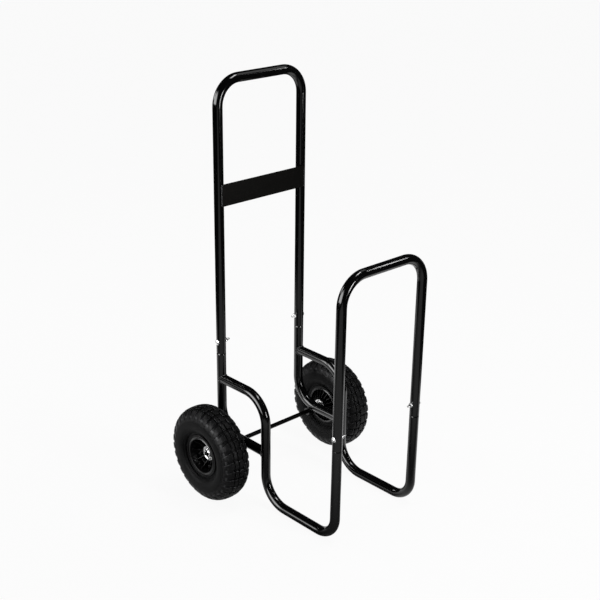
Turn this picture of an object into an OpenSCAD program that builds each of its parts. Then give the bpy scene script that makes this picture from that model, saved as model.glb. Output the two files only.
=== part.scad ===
// Fireside log cart: a bent-tube frame on two pneumatic wheels, in millimetres.
// X runs forward from the handle to the front hoop, Y to the left and Z up.
// The origin is on the floor, under the middle of the whole cart.

/* [Overall] */
// Height over the top bar of the handle
overall_h = 1115; // [1000:5:1200]
// Distance between the centre planes of the two side frames
frame_w = 280; // [250:5:340]

/* [Frame tube] */
// Outer diameter of every frame tube
tube_d = 25.4; // [22:0.1:28]
// Wall of every frame tube
tube_wall = 1.6; // [1.2:0.1:2.2]
// Centreline radius of the bends in the side frames
bend_r = 75; // [62:1:85]
// Centreline radius of the front corner, where the rail turns up
front_bend_r = 58; // [45:1:75]
// Centreline radius of the handle's two corners
handle_bend_r = 66; // [50:1:90]
// Centreline radius of the front hoop's two corners
hoop_bend_r = 70; // [50:1:90]

/* [Side frame] */
// Height of the upper rail's centreline
upper_rail_z = 304; // [285:1:330]
// Distance from the rear post to the riser that drops to the floor rail
riser_x = 178; // [165:1:215]
// Distance from the rear post to the corner of floor rail and front upright
front_x = 438; // [400:1:520]
// Forward lean of the front upright, in degrees
front_lean = 0.53; // [0:0.01:3]

/* [Tube joints] */
// Height of the seam between the rear post and the handle
handle_seam_z = 379; // [360:1:480]
// Height of the seam between the front stub and the front hoop
hoop_seam_z = 267; // [200:1:340]
// Height of the front hoop's top bar, to its centreline
hoop_top_z = 710; // [560:5:820]
// Length of the reduced tube end that slides into the tube above
spigot_len = 55; // [45:1:80]
// Length of the taper down to the reduced tube end
swage_len = 3; // [2:0.5:6]
// Gap all round between the reduced end and the tube above
spigot_gap = 0.2; // [0.1:0.05:0.4]
// Height of each joint bolt above its seam
bolt_rise = 32; // [22:1:36]

/* [Joint bolts] */
// Diameter of the joint bolts
bolt_d = 6.3; // [5:0.1:8]
// Diameter of the mushroom head
bolt_head_d = 14.5; // [12:0.5:18]
// Height of the mushroom head
bolt_head_h = 3.6; // [2.5:0.1:5]
// Width of the nut across its flats
nut_af = 11; // [10:0.5:14]
// Thickness of the nut
nut_h = 5.4; // [4:0.1:7]
// Thread standing out past the tube on the inside
bolt_tail = 14.8; // [9:0.1:20]
// Gap all round between a bolt and its hole
bolt_gap = 0.2; // [0.1:0.05:0.5]

/* [Cross plate] */
// Height of the plate's middle above the floor
plate_z = 813.5; // [600:0.5:900]
// Height of the plate
plate_h = 58; // [40:1:90]
// Thickness of the plate
plate_t = 2; // [1.5:0.1:4]
// Radius of the plate's corners
plate_corner_r = 3; // [1:0.5:8]

/* [Welds] */
// Size of the weld beads
weld = 2.6; // [1.5:0.1:3.5]
// Gap at a coped tube end, bridged by its weld
cope_gap = 0.2; // [0.1:0.05:0.4]

/* [Axle] */
// Diameter of the axle rod
axle_d = 12; // [10:0.5:14]
// Distance from the rear post forward to the axle
axle_x = 50; // [35:1:60]
// Outer diameter of the sleeves that carry the axle
sleeve_d = 21.3; // [19:0.1:25]
// Gap all round between the axle and what it carries
axle_gap = 0.1; // [0.05:0.05:0.3]
// Length of the sleeve inboard of the rear post's centre plane
sleeve_inboard = 12; // [8:1:25]
// Axle standing out past the push nuts
axle_tail = 4.5; // [2:0.5:10]
// Diameter of the washer between sleeve and wheel
washer_d = 24; // [22:0.5:28]
// Thickness of that washer
washer_t = 1.5; // [1:0.1:3]
// Diameter of the push nut on the axle's end
push_nut_d = 19; // [17:0.5:21]
// Height of the push nut
push_nut_h = 3.4; // [2.5:0.1:5]

/* [Wheels] */
// Diameter over the tread
wheel_d = 260; // [245:1:280]
// Width of the inflated tyre
tyre_w = 84; // [78:1:90]
// Distance between the middle planes of the two tyres
wheel_track = 445; // [435:1:520]
// Height of the tread lugs
lug_h = 4; // [2.5:0.1:5]
// Number of lugs in each row
lug_count = 30; // [24:2:32]
// Length of a lug round the tyre
lug_len = 19; // [12:0.5:20]
// Width of a lug in the centre row
centre_lug_w = 12; // [8:0.5:14]
// Width of a lug in the row on either side of the centre row
middle_lug_w = 9; // [7:0.5:11]
// Groove between the rows of lugs
lug_groove = 3.5; // [2.5:0.1:4]
// How far the shoulder lugs reach down from the tread
shoulder_reach = 28; // [22:0.5:32]
// Thickness of the tyre's casing
casing_t = 5; // [4:0.1:6]
// Width of the tyre's bead where it grips the rim
bead_w = 5; // [4:0.5:7]
// Thickness of the inner tube's wall
inner_tube_t = 2; // [1:0.1:3]
// Gap between the tyre, its inner tube and the rim
tyre_gap = 0.2; // [0.1:0.05:0.4]

/* [Rims] */
// Diameter of the seat that the tyre's bead grips
bead_d = 101; // [96:0.5:106]
// Diameter over the rim flanges
flange_d = 118; // [114:0.5:122]
// Width over the rim flanges
rim_w = 66; // [62:1:70]
// Wall of the moulded rim
rim_wall = 3.5; // [2.5:0.1:4]
// Distance from the tyre's middle plane in to the face where the rim's halves meet
split_in = 6; // [4:0.5:8]
// Distance from the tyre's middle plane out to the outer half's web
web_out = 4; // [3:0.5:5]
// Diameter of the moulded hub
hub_d = 44; // [42:0.5:46]
// Ribs on the outer face for each rim bolt
outer_ribs = 2; // [1:1:2]
// Ribs on the inner face for each rim bolt
inner_ribs = 4; // [2:2:4]
// Thickness of a rib
rib_t = 2.2; // [1.6:0.1:2.4]
// Depth of the ribs below the rim's edge
rib_drop = 6; // [3:0.5:10]

/* [Rim bolts and valve] */
// Number of bolts that clamp the rim's halves
rim_bolts = 5; // [4:1:5]
// Radius of the circle of rim bolts
rim_bolt_r = 38.5; // [38:0.1:39]
// Diameter of the rim bolts
rim_bolt_d = 5; // [4:0.5:5]
// Diameter of the moulded boss under each bolt head
rim_boss_d = 13; // [11:0.5:14]
// Height of that boss above the outer half's web
rim_boss_h = 1.5; // [1:0.5:3]
// Diameter of the valve's stem
valve_d = 8; // [7:0.1:9]
// Distance from the wheel's axis to the valve's upright stem
valve_r = 40.5; // [39:0.5:41]
// Distance from the tyre's middle plane out to the valve's hole in the rim
valve_out = 14; // [12:0.5:16]
// Distance from that hole out to the top of the valve's cap
valve_rise = 17; // [14:0.5:18]

/* [Bearings] */
// Distance from the tyre's middle plane out to the outer bearing's face
hub_out = 8.8; // [6:0.1:14]
// Distance from the tyre's middle plane in to the inner bearing's face
hub_in = 45; // [42:0.5:48]
// Diameter of the bearing's flange
bearing_flange_d = 40; // [38:0.5:41]
// Thickness of the bearing's flange
bearing_flange_t = 1.6; // [1.2:0.1:2]
// Diameter of the bearing's shell
bearing_d = 35; // [33:0.5:36]
// Depth of the bearing behind its face
bearing_depth = 11; // [10:0.5:13]
// Diameter of the balls
ball_d = 6; // [5:0.1:6.5]
// Radius of the circle that the balls run on
ball_circle_r = 12.3; // [11.8:0.1:12.8]
// Number of balls in each bearing
ball_count = 9; // [7:1:10]
// Gap all round between a ball and its tracks
ball_gap = 0.1; // [0.05:0.05:0.2]
// How far the cone stands out past the bearing's face
cone_proud = 0.5; // [0.3:0.1:1]
// Gap all round between a bearing and its seat
seat_gap = 0.05; // [0.02:0.01:0.1]

/* [Hidden] */
$fn = 96;
eps = 0.01;
// Where two tubes meet at a slant, one starts this far inside the wall of the other
hair = 0.02;
// The ribs of the rims start this far below the hub's face
rib_step = 1;
// The beads on the cross plate's ends stay this far behind its front face
plate_clear = 0.2;

// Colours of the finishes
BLACK_PAINT = [0.06, 0.06, 0.065];
DULL_BLACK = [0.09, 0.09, 0.09];
ZINC = [0.78, 0.79, 0.80];
RUBBER = [0.13, 0.13, 0.135];
BLACK_PLASTIC = [0.10, 0.10, 0.11];

// Frame lines worked out from the sizes above
tube_r = tube_d / 2;
bore_r = tube_r - tube_wall;
side_y = frame_w / 2;
rail_z = tube_r;
wheel_r = wheel_d / 2;
handle_top_z = overall_h - tube_r;

// The rear post's bend rests on the axle sleeve, which sets the height of the lower rail
bend_reach = max(0, bend_r - axle_x);
rest_r = bend_r + tube_r + sleeve_d / 2;
lower_rail_z = wheel_r - bend_r + sqrt(rest_r * rest_r - bend_reach * bend_reach);

// Lengths measured along the leaning front upright, from its corner with the floor rail
stub_len = (hoop_seam_z - rail_z) / cos(front_lean);
hoop_rise = (hoop_top_z - rail_z) / cos(front_lean);

// The origin is midway between the back of the wheels and the front of the hoop
front_bar_x = front_x + (hoop_top_z - rail_z) * tan(front_lean);
origin_x = (axle_x - wheel_r + front_bar_x + tube_r) / 2;

// ---------------------------------------------------------------- tubes

// The tube's ring-shaped section
module tube_section() {
    difference() {
        circle(r = tube_r);
        circle(r = bore_r);
    }
}

// A bend that starts upward at the origin and leans over towards +X
module tube_bend(radius, angle) {
    translate([radius, 0, 0])
        rotate([90, 0, 180])
            rotate_extrude(angle = angle)
                translate([radius, 0])
                    tube_section();
}

// A bent tube. Each step is [straight length, bend radius, bend angle], and a negative angle bends to -X.
// What follows the call is drawn at the tube's far end.
module tube_path(steps, i = 0) {
    if (i < len(steps)) {
        length = steps[i][0];
        angle = steps[i][2];
        centre_x = sign(angle) * steps[i][1];
        linear_extrude(height = length)
            tube_section();
        translate([0, 0, length]) {
            if (angle != 0)
                rotate([0, 0, angle < 0 ? 180 : 0])
                    tube_bend(abs(centre_x), abs(angle));
            translate([centre_x, 0, 0])
                rotate([0, angle, 0])
                    translate([-centre_x, 0, 0])
                        tube_path(steps, i + 1)
                            children();
        }
    } else
        children();
}

// The reduced end of a lower tube, from its taper up, with the seam at the origin
module spigot() {
    spigot_r = bore_r - spigot_gap;
    shoulder_r = tube_r - tube_wall / 2;
    rotate_extrude()
        polygon([
            [bore_r, -swage_len], [tube_r, -swage_len], [shoulder_r, 0], [spigot_r, 0],
            [spigot_r, spigot_len], [spigot_r - tube_wall, spigot_len], [spigot_r - tube_wall, 0]
        ]);
}

// The cross hole for a joint bolt, through one leg whose seam is at the origin
module bolt_hole() {
    translate([0, 0, bolt_rise])
        rotate([90, 0, 0])
            cylinder(d = bolt_d + 2 * bolt_gap, h = 2 * tube_d, center = true);
}

// A hoop standing on two legs that start at the origin's height
module hoop(rise, radius) {
    leg = rise - radius;
    difference() {
        translate([0, -side_y, 0])
            rotate([0, 0, 90])
                tube_path([[leg, radius, 90], [frame_w - 2 * radius, radius, 90], [leg, 0, 0]]);
        for (side = [-1, 1])
            translate([0, side * side_y, 0])
                bolt_hole();
    }
}

// ---------------------------------------------------------------- placing

module shifted() {
    translate([-origin_x, 0, 0])
        children();
}

// Draws a left-hand piece, or its mirror image on the right
module on_side(side) {
    shifted()
        mirror([0, side == "right" ? 1 : 0, 0])
            children();
}

module on_both_sides() {
    on_side("left")
        children();
    on_side("right")
        children();
}

// The seam of the rear post, at the top of the left side frame
module at_handle_seam() {
    translate([0, side_y, handle_seam_z])
        children();
}

// The leaning line of the front upright, with its corner on the floor rail at the origin
module along_front_upright() {
    translate([front_x, 0, rail_z])
        rotate([0, front_lean, 0])
            children();
}

module at_hoop_seam() {
    along_front_upright()
        translate([0, side_y, stub_len])
            children();
}

// ---------------------------------------------------------------- frame

module handle_hoop() {
    color(BLACK_PAINT)
        shifted()
            translate([0, 0, handle_seam_z])
                hoop(handle_top_z - handle_seam_z, handle_bend_r);
}

module front_hoop() {
    color(BLACK_PAINT)
        shifted()
            along_front_upright()
                translate([0, 0, stub_len])
                    hoop(hoop_rise - stub_len, hoop_bend_r);
}

// Outer surfaces that the coped tube ends meet, or as much larger as grow says
module post_envelope(grow = 0) {
    translate([0, side_y, lower_rail_z + bend_r])
        cylinder(r = tube_r + grow, h = handle_seam_z - lower_rail_z - bend_r - swage_len);
}

module riser_envelope(grow = 0) {
    translate([riser_x, side_y, rail_z + bend_r])
        cylinder(r = tube_r + grow, h = upper_rail_z - rail_z - 2 * bend_r);
}

module upper_rail_envelope(grow = 0) {
    translate([grow, side_y, upper_rail_z])
        rotate([0, 90, 0])
            cylinder(r = tube_r + grow, h = riser_x - bend_r - grow);
}

module lower_rail_envelope(grow = 0) {
    translate([bend_r, side_y, lower_rail_z])
        rotate([0, 90, 0])
            cylinder(r = tube_r + grow, h = riser_x - bend_r - grow);
}

// The rear post bends forward into the lower rail, whose end is coped to the riser
module rear_post() {
    straight = handle_seam_z - swage_len - lower_rail_z - bend_r;
    difference() {
        at_handle_seam() {
            spigot();
            translate([0, 0, -swage_len])
                rotate([180, 0, 0])
                    tube_path([[straight, bend_r, 90], [riser_x - bend_r, 0, 0]]);
        }
        riser_envelope(cope_gap);
        at_handle_seam()
            bolt_hole();
    }
}

// The upright stub above the front corner, with its reduced end
module front_stub(length) {
    translate([0, 0, -hair])
        linear_extrude(height = length + hair)
            difference() {
                circle(r = tube_r - hair);
                circle(r = bore_r + hair);
            }
    translate([0, 0, length + swage_len])
        spigot();
}

// The side rail runs forward, drops to the floor, runs on and turns up into the front stub
module side_rail() {
    front_turn = 90 - front_lean;
    setback = front_bend_r * tan(front_turn / 2);
    difference() {
        translate([0, side_y, upper_rail_z])
            rotate([0, 90, 0])
                tube_path([
                    [riser_x - bend_r, bend_r, 90],
                    [upper_rail_z - rail_z - 2 * bend_r, bend_r, -90],
                    [front_x - setback - riser_x - bend_r, front_bend_r, -front_turn]
                ])
                    front_stub(stub_len - setback - swage_len);
        post_envelope(cope_gap);
        at_hoop_seam()
            bolt_hole();
    }
}

// A rectangle with round corners, made of true arcs
module round_rectangle(width, height, radius) {
    square([width - 2 * radius, height], center = true);
    square([width, height - 2 * radius], center = true);
    for (x = [-1, 1], y = [-1, 1])
        translate([x * (width / 2 - radius), y * (height / 2 - radius)])
            circle(r = radius);
}

module cross_plate() {
    color(DULL_BLACK)
        shifted()
            translate([tube_r, 0, plate_z])
                rotate([90, 0, 90])
                    linear_extrude(height = plate_t)
                        round_rectangle(frame_w, plate_h, plate_corner_r);
}

// ---------------------------------------------------------------- welds

// The bead round the coped end of the upper rail
module upper_rail_weld() {
    difference() {
        intersection() {
            upper_rail_envelope(weld);
            post_envelope(weld);
        }
        upper_rail_envelope();
        post_envelope();
    }
}

// The bead round the coped end of the lower rail
module lower_rail_weld() {
    difference() {
        intersection() {
            lower_rail_envelope(weld);
            riser_envelope(weld);
        }
        lower_rail_envelope();
        riser_envelope();
    }
}

// The fillet along an end of the cross plate, which stays behind the plate's front face
module plate_weld() {
    length = plate_h - 2 * plate_corner_r;
    difference() {
        translate([tube_r, side_y, plate_z])
            cylinder(r = min(weld, plate_t - plate_clear), h = length, center = true);
        translate([0, side_y, plate_z])
            cylinder(r = tube_r, h = plate_h, center = true);
        translate([tube_r - weld, side_y - 2 * weld, plate_z - plate_h / 2])
            cube([plate_t + weld, 2 * weld, plate_h]);
    }
}

// The beads that hold the axle sleeve under the bend of the rear post
module sleeve_weld() {
    difference() {
        intersection() {
            translate([axle_x, side_y, wheel_r])
                rotate([90, 0, 0])
                    cylinder(r = sleeve_d / 2 + weld, h = tube_d, center = true);
            post_bend(tube_r + weld);
        }
        translate([axle_x, side_y, wheel_r])
            rotate([90, 0, 0])
                cylinder(d = sleeve_d, h = 2 * tube_d, center = true);
        post_bend(tube_r);
    }
}

// The solid outline of the rear post's bend
module post_bend(radius) {
    translate([bend_r, side_y, lower_rail_z + bend_r])
        rotate([90, 0, 180])
            rotate_extrude(angle = -90)
                translate([bend_r, 0])
                    circle(r = radius);
}

module weld_beads() {
    color(BLACK_PAINT)
        on_both_sides() {
            upper_rail_weld();
            lower_rail_weld();
            plate_weld();
            sleeve_weld();
        }
}

// ---------------------------------------------------------------- joint bolts

// A mushroom-headed bolt from the outside of a leg whose seam is at the origin
module joint_bolt() {
    dome_r = (pow(bolt_head_d / 2, 2) + pow(bolt_head_h, 2)) / (2 * bolt_head_h);
    color(ZINC)
        translate([0, tube_r, bolt_rise])
            rotate([-90, 0, 0]) {
                intersection() {
                    translate([0, 0, bolt_head_h - dome_r])
                        sphere(r = dome_r);
                    cylinder(d = bolt_head_d, h = bolt_head_h + eps);
                }
                translate([0, 0, -tube_d - bolt_tail])
                    cylinder(d = bolt_d, h = tube_d + bolt_tail + eps);
            }
}

module hex_nut(across_flats, height, bore) {
    difference() {
        cylinder(d = across_flats / cos(30), h = height, $fn = 6);
        translate([0, 0, -1])
            cylinder(d = bore, h = height + 2);
    }
}

module joint_nut() {
    color(ZINC)
        translate([0, -tube_r, bolt_rise])
            rotate([90, 0, 0])
                hex_nut(nut_af, nut_h, bolt_d + 2 * eps);
}

// ---------------------------------------------------------------- axle

// Distances from the cart's centre plane out to the faces along the axle
wheel_y = wheel_track / 2;
outer_cone_face = wheel_y + hub_out + cone_proud;
inner_cone_face = wheel_y - hub_in - cone_proud;
sleeve_end = inner_cone_face - washer_t;
cone_bore = axle_d + 2 * axle_gap;

// Draws along the axle: +Z points out to the left from the cart's centre plane
module along_axle(y = 0) {
    translate([axle_x, y, wheel_r])
        rotate([-90, 0, 0])
            children();
}

module axle() {
    half = outer_cone_face + push_nut_h + axle_tail;
    chamfer = 1;
    color(BLACK_PAINT)
        shifted()
            along_axle()
                rotate_extrude()
                    polygon([
                        [0, -half], [axle_d / 2 - chamfer, -half], [axle_d / 2, -half + chamfer],
                        [axle_d / 2, half - chamfer], [axle_d / 2 - chamfer, half], [0, half]
                    ]);
}

module ring(outer_d, inner_d, height) {
    difference() {
        cylinder(d = outer_d, h = height);
        translate([0, 0, -1])
            cylinder(d = inner_d, h = height + 2);
    }
}

module axle_sleeve() {
    start = side_y - sleeve_inboard;
    color(BLACK_PAINT)
        along_axle(start)
            ring(sleeve_d, cone_bore, sleeve_end - start);
}

module axle_washer() {
    color(ZINC)
        along_axle(sleeve_end)
            ring(washer_d, cone_bore, washer_t);
}

// A pressed cap ring that grips the axle's end
module push_nut() {
    rim_t = 1.2;
    crown_r = axle_d / 2 + axle_gap;
    color(ZINC)
        along_axle(outer_cone_face)
            rotate_extrude()
                polygon([
                    [crown_r, push_nut_h - rim_t], [push_nut_d / 2 - rim_t, 0], [push_nut_d / 2, 0],
                    [push_nut_d / 2, rim_t], [crown_r + rim_t, push_nut_h], [crown_r, push_nut_h]
                ]);
}

// ---------------------------------------------------------------- bearings

// The section of a bearing is drawn with X as radius and Y as depth behind its face
module ball_track() {
    translate([ball_circle_r, bearing_depth / 2])
        circle(r = ball_d / 2 + ball_gap);
}

module bearing_shell() {
    land_r = ball_circle_r + ball_d / 3;
    color(ZINC)
        rotate_extrude()
            difference() {
                union() {
                    translate([land_r, 0])
                        square([bearing_flange_d / 2 - land_r, bearing_flange_t]);
                    translate([land_r, 0])
                        square([bearing_d / 2 - land_r, bearing_depth]);
                }
                ball_track();
            }
}

module bearing_cone() {
    land_r = ball_circle_r - ball_d / 3;
    color(ZINC)
        rotate_extrude()
            difference() {
                translate([cone_bore / 2, -cone_proud])
                    square([land_r - cone_bore / 2, bearing_depth + 2 * cone_proud]);
                ball_track();
            }
}

module ball_ring() {
    color(ZINC)
        for (i = [0 : ball_count - 1])
            rotate([0, 0, i * 360 / ball_count])
                translate([ball_circle_r, 0, bearing_depth / 2])
                    sphere(d = ball_d);
}

// Draws in the wheel's own frame: Z runs outward from the tyre's middle plane
module in_wheel() {
    translate([axle_x, wheel_y, wheel_r])
        rotate([90, 0, 0])
            mirror([0, 0, 1])
                children();
}

// A bearing seen from its face, behind which +Z runs into the hub
module at_outer_bearing() {
    in_wheel()
        translate([0, 0, hub_out])
            mirror([0, 0, 1])
                children();
}

module at_inner_bearing() {
    in_wheel()
        translate([0, 0, -hub_in])
            children();
}

module bearing_cone_pair() {
    at_outer_bearing()
        bearing_cone();
    at_inner_bearing()
        bearing_cone();
}

module ball_ring_pair() {
    at_outer_bearing()
        ball_ring();
    at_inner_bearing()
        ball_ring();
}

// ---------------------------------------------------------------- wheel

// Radii and distances shared by the tyre, its tube and the rim.
// Distances run out from the tyre's middle plane.
// The tread's and the casing's outlines are ellipses of these powers. The tread's shoulders are the squarer.
TREAD_POWER = 2.6;
CASING_POWER = 2.45;
waist_r = wheel_r - tyre_w / 2;
bead_r = bead_d / 2;
barrel_r = bead_r - rim_wall;
flange_r = flange_d / 2;
flange_face = rim_w / 2 - rim_wall;
bead_face = flange_face - tyre_gap;
bead_toe = bead_face - bead_w;
hub_r = hub_d / 2;
outer_hub_face = hub_out - bearing_flange_t;
inner_hub_face = bearing_flange_t - hub_in;
bolt_pitch = 360 / rim_bolts;
// The angle of the first rim bolt, from straight ahead towards the top
FIRST_BOLT = 58;

// ---------------------------------------------------------------- tyre

CROWN_STEPS = 14;
WALL_STEPS = 6;
// Where the lower sidewall's arc ends, just above the rim flange
SIDEWALL_END = 45;
// The sidewall's arc would close this far above the bead seat
SIDEWALL_CLEAR = 8;

// A point of a squared-off ellipse about the tyre's waist, at an angle from its crown
function ellipse_point(half_w, height, angle, power) = [
    waist_r + height * pow(cos(angle), 2 / power),
    half_w * pow(sin(angle), 2 / power)
];

// The casing's outline from the crown over the waist and in towards the bead, moved in by inset
function casing_outline(inset) = let (
    half_w = tyre_w / 2 - inset,
    crown = wheel_r - lug_h - inset - waist_r,
    fall = waist_r - bead_r - SIDEWALL_CLEAR - inset
) concat(
    [for (i = [0 : CROWN_STEPS])
        ellipse_point(half_w, crown, 90 * i / CROWN_STEPS, CASING_POWER)],
    [for (i = [1 : WALL_STEPS])
        ellipse_point(half_w, -fall, 90 - (90 - SIDEWALL_END) * i / WALL_STEPS, CASING_POWER)]
);

function reversed(list) = [for (i = [len(list) - 1 : -1 : 0]) list[i]];

// Closes an outline that starts and ends on the tyre's middle plane with its own mirror image
function mirrored(outline) = concat(
    outline,
    [for (i = [len(outline) - 2 : -1 : 1]) [outline[i][0], -outline[i][1]]]
);

module casing_section() {
    ridge_r = 2;
    outer = casing_outline(0);
    ridge_at = outer[len(outer) - 1] - [0, ridge_r / 2];
    polygon(mirrored(concat(
        outer,
        [
            [flange_r + ridge_r, bead_face], [bead_r + tyre_gap, bead_face],
            [bead_r + tyre_gap, bead_toe]
        ],
        reversed(casing_outline(casing_t))
    )));
    for (way = [-1, 1])
        translate([ridge_at[0], way * ridge_at[1]])
            circle(r = ridge_r);
}

// The angle round the tread's outline at a distance from the tyre's middle plane, and at a radius
function angle_at(distance) = asin(pow(distance / (tyre_w / 2), TREAD_POWER / 2));
function angle_down_to(radius) =
    acos(pow((radius - waist_r) / (wheel_r - waist_r), TREAD_POWER / 2));

// A lug's section between two angles round the tread's outline, rooted half-way into the casing
module lug_section(from, to, steps) {
    root_w = tyre_w / 2 - casing_t / 2;
    root_h = wheel_r - lug_h - casing_t / 2 - waist_r;
    angles = [for (i = [0 : steps]) from + (to - from) * i / steps];
    polygon(concat(
        [for (a = angles) ellipse_point(tyre_w / 2, wheel_r - waist_r, a, TREAD_POWER)],
        [for (a = reversed(angles)) ellipse_point(root_w, root_h, a, CASING_POWER)]
    ));
}

// A row of lugs with the section given as the child, one of them centred on start_angle
module lug_row(start_angle) {
    angle = lug_len / wheel_r * 180 / PI;
    for (i = [0 : lug_count - 1])
        rotate([0, 0, start_angle + i * 360 / lug_count - angle / 2])
            rotate_extrude(angle = angle)
                children();
}

module centre_lug_section() {
    half = angle_at(centre_lug_w / 2);
    lug_section(0, half, 1);
    mirror([0, 1])
        lug_section(0, half, 1);
}

// The sections of the middle and the shoulder lugs on one side of the centre row
module side_lug_sections() {
    middle = centre_lug_w / 2 + lug_groove;
    shoulder = middle + middle_lug_w + lug_groove;
    lug_section(angle_at(middle), angle_at(middle + middle_lug_w), 2);
    lug_section(angle_at(shoulder), angle_down_to(wheel_r - shoulder_reach), 5);
}

// The rows on the inner side lie half a step round from the rest
module tyre() {
    color(RUBBER)
        in_wheel() {
            rotate_extrude()
                casing_section();
            lug_row(0)
                centre_lug_section();
            lug_row(0)
                side_lug_sections();
            lug_row(180 / lug_count)
                mirror([0, 1])
                    side_lug_sections();
        }
}

// The space inside the casing, made smaller all round by inset
module cavity_section(inset) {
    floor_r = bead_r + tyre_gap + inset;
    polygon(mirrored(concat(
        casing_outline(casing_t + inset),
        [[floor_r, bead_toe - inset], [floor_r, 0]]
    )));
}

// The tube fills the casing, and its wall is open under the valve
module inner_tube() {
    color(RUBBER)
        difference() {
            in_wheel()
                rotate_extrude()
                    difference() {
                        cavity_section(tyre_gap);
                        cavity_section(tyre_gap + inner_tube_t);
                    }
            at_valve()
                cylinder(d = valve_d / 2, h = waist_r);
        }
}

// ---------------------------------------------------------------- rim

// Draws at each rim bolt, on the wheel's axis side
module at_rim_bolts() {
    in_wheel()
        for (i = [0 : rim_bolts - 1])
            rotate([0, 0, FIRST_BOLT + i * bolt_pitch])
                translate([rim_bolt_r, 0, 0])
                    children();
}

// Radial ribs spaced evenly to either side of each rim bolt, which rise from foot to the hub and the barrel
module ribs(per_bolt, foot, hub_top, barrel_top) {
    count = per_bolt * rim_bolts;
    hub_end = hub_r - 1;
    barrel_end = bead_r - rim_wall / 2;
    in_wheel()
        for (i = [0 : count - 1])
            rotate([0, 0, FIRST_BOLT + (i + 0.5) * 360 / count])
                rotate([90, 0, 0])
                    linear_extrude(height = rib_t, center = true)
                        polygon([
                            [hub_end, foot], [hub_end, hub_top], [hub_end + 2, hub_top],
                            [barrel_end, barrel_top], [barrel_end, foot]
                        ]);
}

module rim_bolt_holes() {
    at_rim_bolts()
        cylinder(r = rim_bolt_d / 2 + bolt_gap, h = rim_w, center = true);
}

// The section of a flange and bead seat, from the split out to the rim's edge
module rim_barrel(split, way) {
    edge = rim_w / 2;
    lip_r = rim_wall / 2;
    polygon([
        [barrel_r, split], [bead_r, split], [bead_r, way * flange_face],
        [flange_r - lip_r, way * flange_face], [flange_r - lip_r, way * edge], [barrel_r, way * edge]
    ]);
    translate([flange_r - lip_r, way * (flange_face + lip_r)])
        circle(r = lip_r);
}

// A bearing's seat in the hub: the counterbore that takes its shell, and the way through past its shoulder
module bearing_seats() {
    seat_r = bearing_d / 2 + seat_gap;
    through_r = ball_circle_r + 2;
    rotate_extrude() {
        translate([0, hub_out - bearing_depth])
            square([seat_r, bearing_depth]);
        translate([0, -hub_in])
            square([seat_r, bearing_depth]);
        translate([0, -hub_in])
            square([through_r, hub_out + hub_in]);
    }
}

module rim_outer_half() {
    web_back = web_out - rim_wall;
    color(BLACK_PLASTIC)
        difference() {
            union() {
                in_wheel()
                    rotate_extrude() {
                        rim_barrel(-split_in, 1);
                        translate([0, -split_in])
                            square([hub_r, outer_hub_face + split_in]);
                        translate([0, web_back])
                            square([bead_r - rim_wall / 2, rim_wall]);
                    }
                at_rim_bolts()
                    translate([0, 0, -split_in])
                        cylinder(d = rim_boss_d, h = rim_boss_h + web_out + split_in);
                ribs(outer_ribs, web_out - rim_wall / 2, outer_hub_face - rib_step, rim_w / 2 - rib_drop);
            }
            in_wheel()
                bearing_seats();
            rim_bolt_holes();
            at_valve()
                cylinder(r = valve_d / 2 + bolt_gap, h = bead_r + rim_wall);
        }
}

module rim_inner_half() {
    web_back = -split_in - rim_wall;
    color(BLACK_PLASTIC)
        difference() {
            union() {
                in_wheel()
                    rotate_extrude() {
                        rim_barrel(-split_in, -1);
                        translate([0, inner_hub_face])
                            square([hub_r, -split_in - inner_hub_face]);
                        translate([0, web_back])
                            square([bead_r - rim_wall / 2, rim_wall]);
                    }
                ribs(inner_ribs, web_back + rim_wall / 2, inner_hub_face + rib_step, rib_drop - rim_w / 2);
            }
            in_wheel()
                bearing_seats();
            rim_bolt_holes();
        }
}

// ---------------------------------------------------------------- rim bolts and valve

rim_nut_af = 1.6 * rim_bolt_d;
rim_nut_h = 0.8 * rim_bolt_d;

module rim_bolt_set() {
    head_h = 0.7 * rim_bolt_d;
    tail = rim_nut_h + 1;
    back = -split_in - rim_wall;
    front = web_out + rim_boss_h;
    color(ZINC)
        at_rim_bolts() {
            translate([0, 0, front])
                cylinder(d = rim_nut_af / cos(30), h = head_h, $fn = 6);
            translate([0, 0, back - tail])
                cylinder(d = rim_bolt_d, h = front - back + tail + eps);
        }
}

module rim_nut_set() {
    color(ZINC)
        at_rim_bolts()
            translate([0, 0, -split_in - rim_wall - rim_nut_h])
                hex_nut(rim_nut_af, rim_nut_h, rim_bolt_d + 2 * eps);
}

// Draws at the foot of the valve, midway between two rim bolts, with +Z running out to the tyre
module at_valve() {
    in_wheel()
        rotate([0, 0, FIRST_BOLT - bolt_pitch / 2])
            translate([0, 0, valve_out])
                rotate([0, 90, 0])
                    children();
}

valve_elbow_r = valve_d / 2 + 1;
valve_thread_r = 0.3 * valve_d;
valve_neck = 2;
cap_top_t = 2;
cap_foot = valve_elbow_r + valve_neck;

// The stem leaves the inner tube towards the axle and turns outward through the dish of the rim
module valve_stem() {
    foot_r = bead_r + tyre_gap;
    elbow_top = valve_r + valve_elbow_r;
    color(RUBBER)
        at_valve() {
            translate([0, 0, elbow_top])
                cylinder(d = valve_d, h = foot_r - elbow_top);
            translate([-valve_elbow_r, 0, elbow_top])
                rotate([90, 0, 0])
                    rotate_extrude(angle = -90)
                        translate([valve_elbow_r, 0])
                            circle(d = valve_d);
            translate([-valve_elbow_r, 0, valve_r])
                rotate([0, -90, 0]) {
                    cylinder(d = valve_d, h = valve_neck);
                    cylinder(r = valve_thread_r, h = valve_rise - valve_elbow_r - cap_top_t);
                }
        }
}

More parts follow.
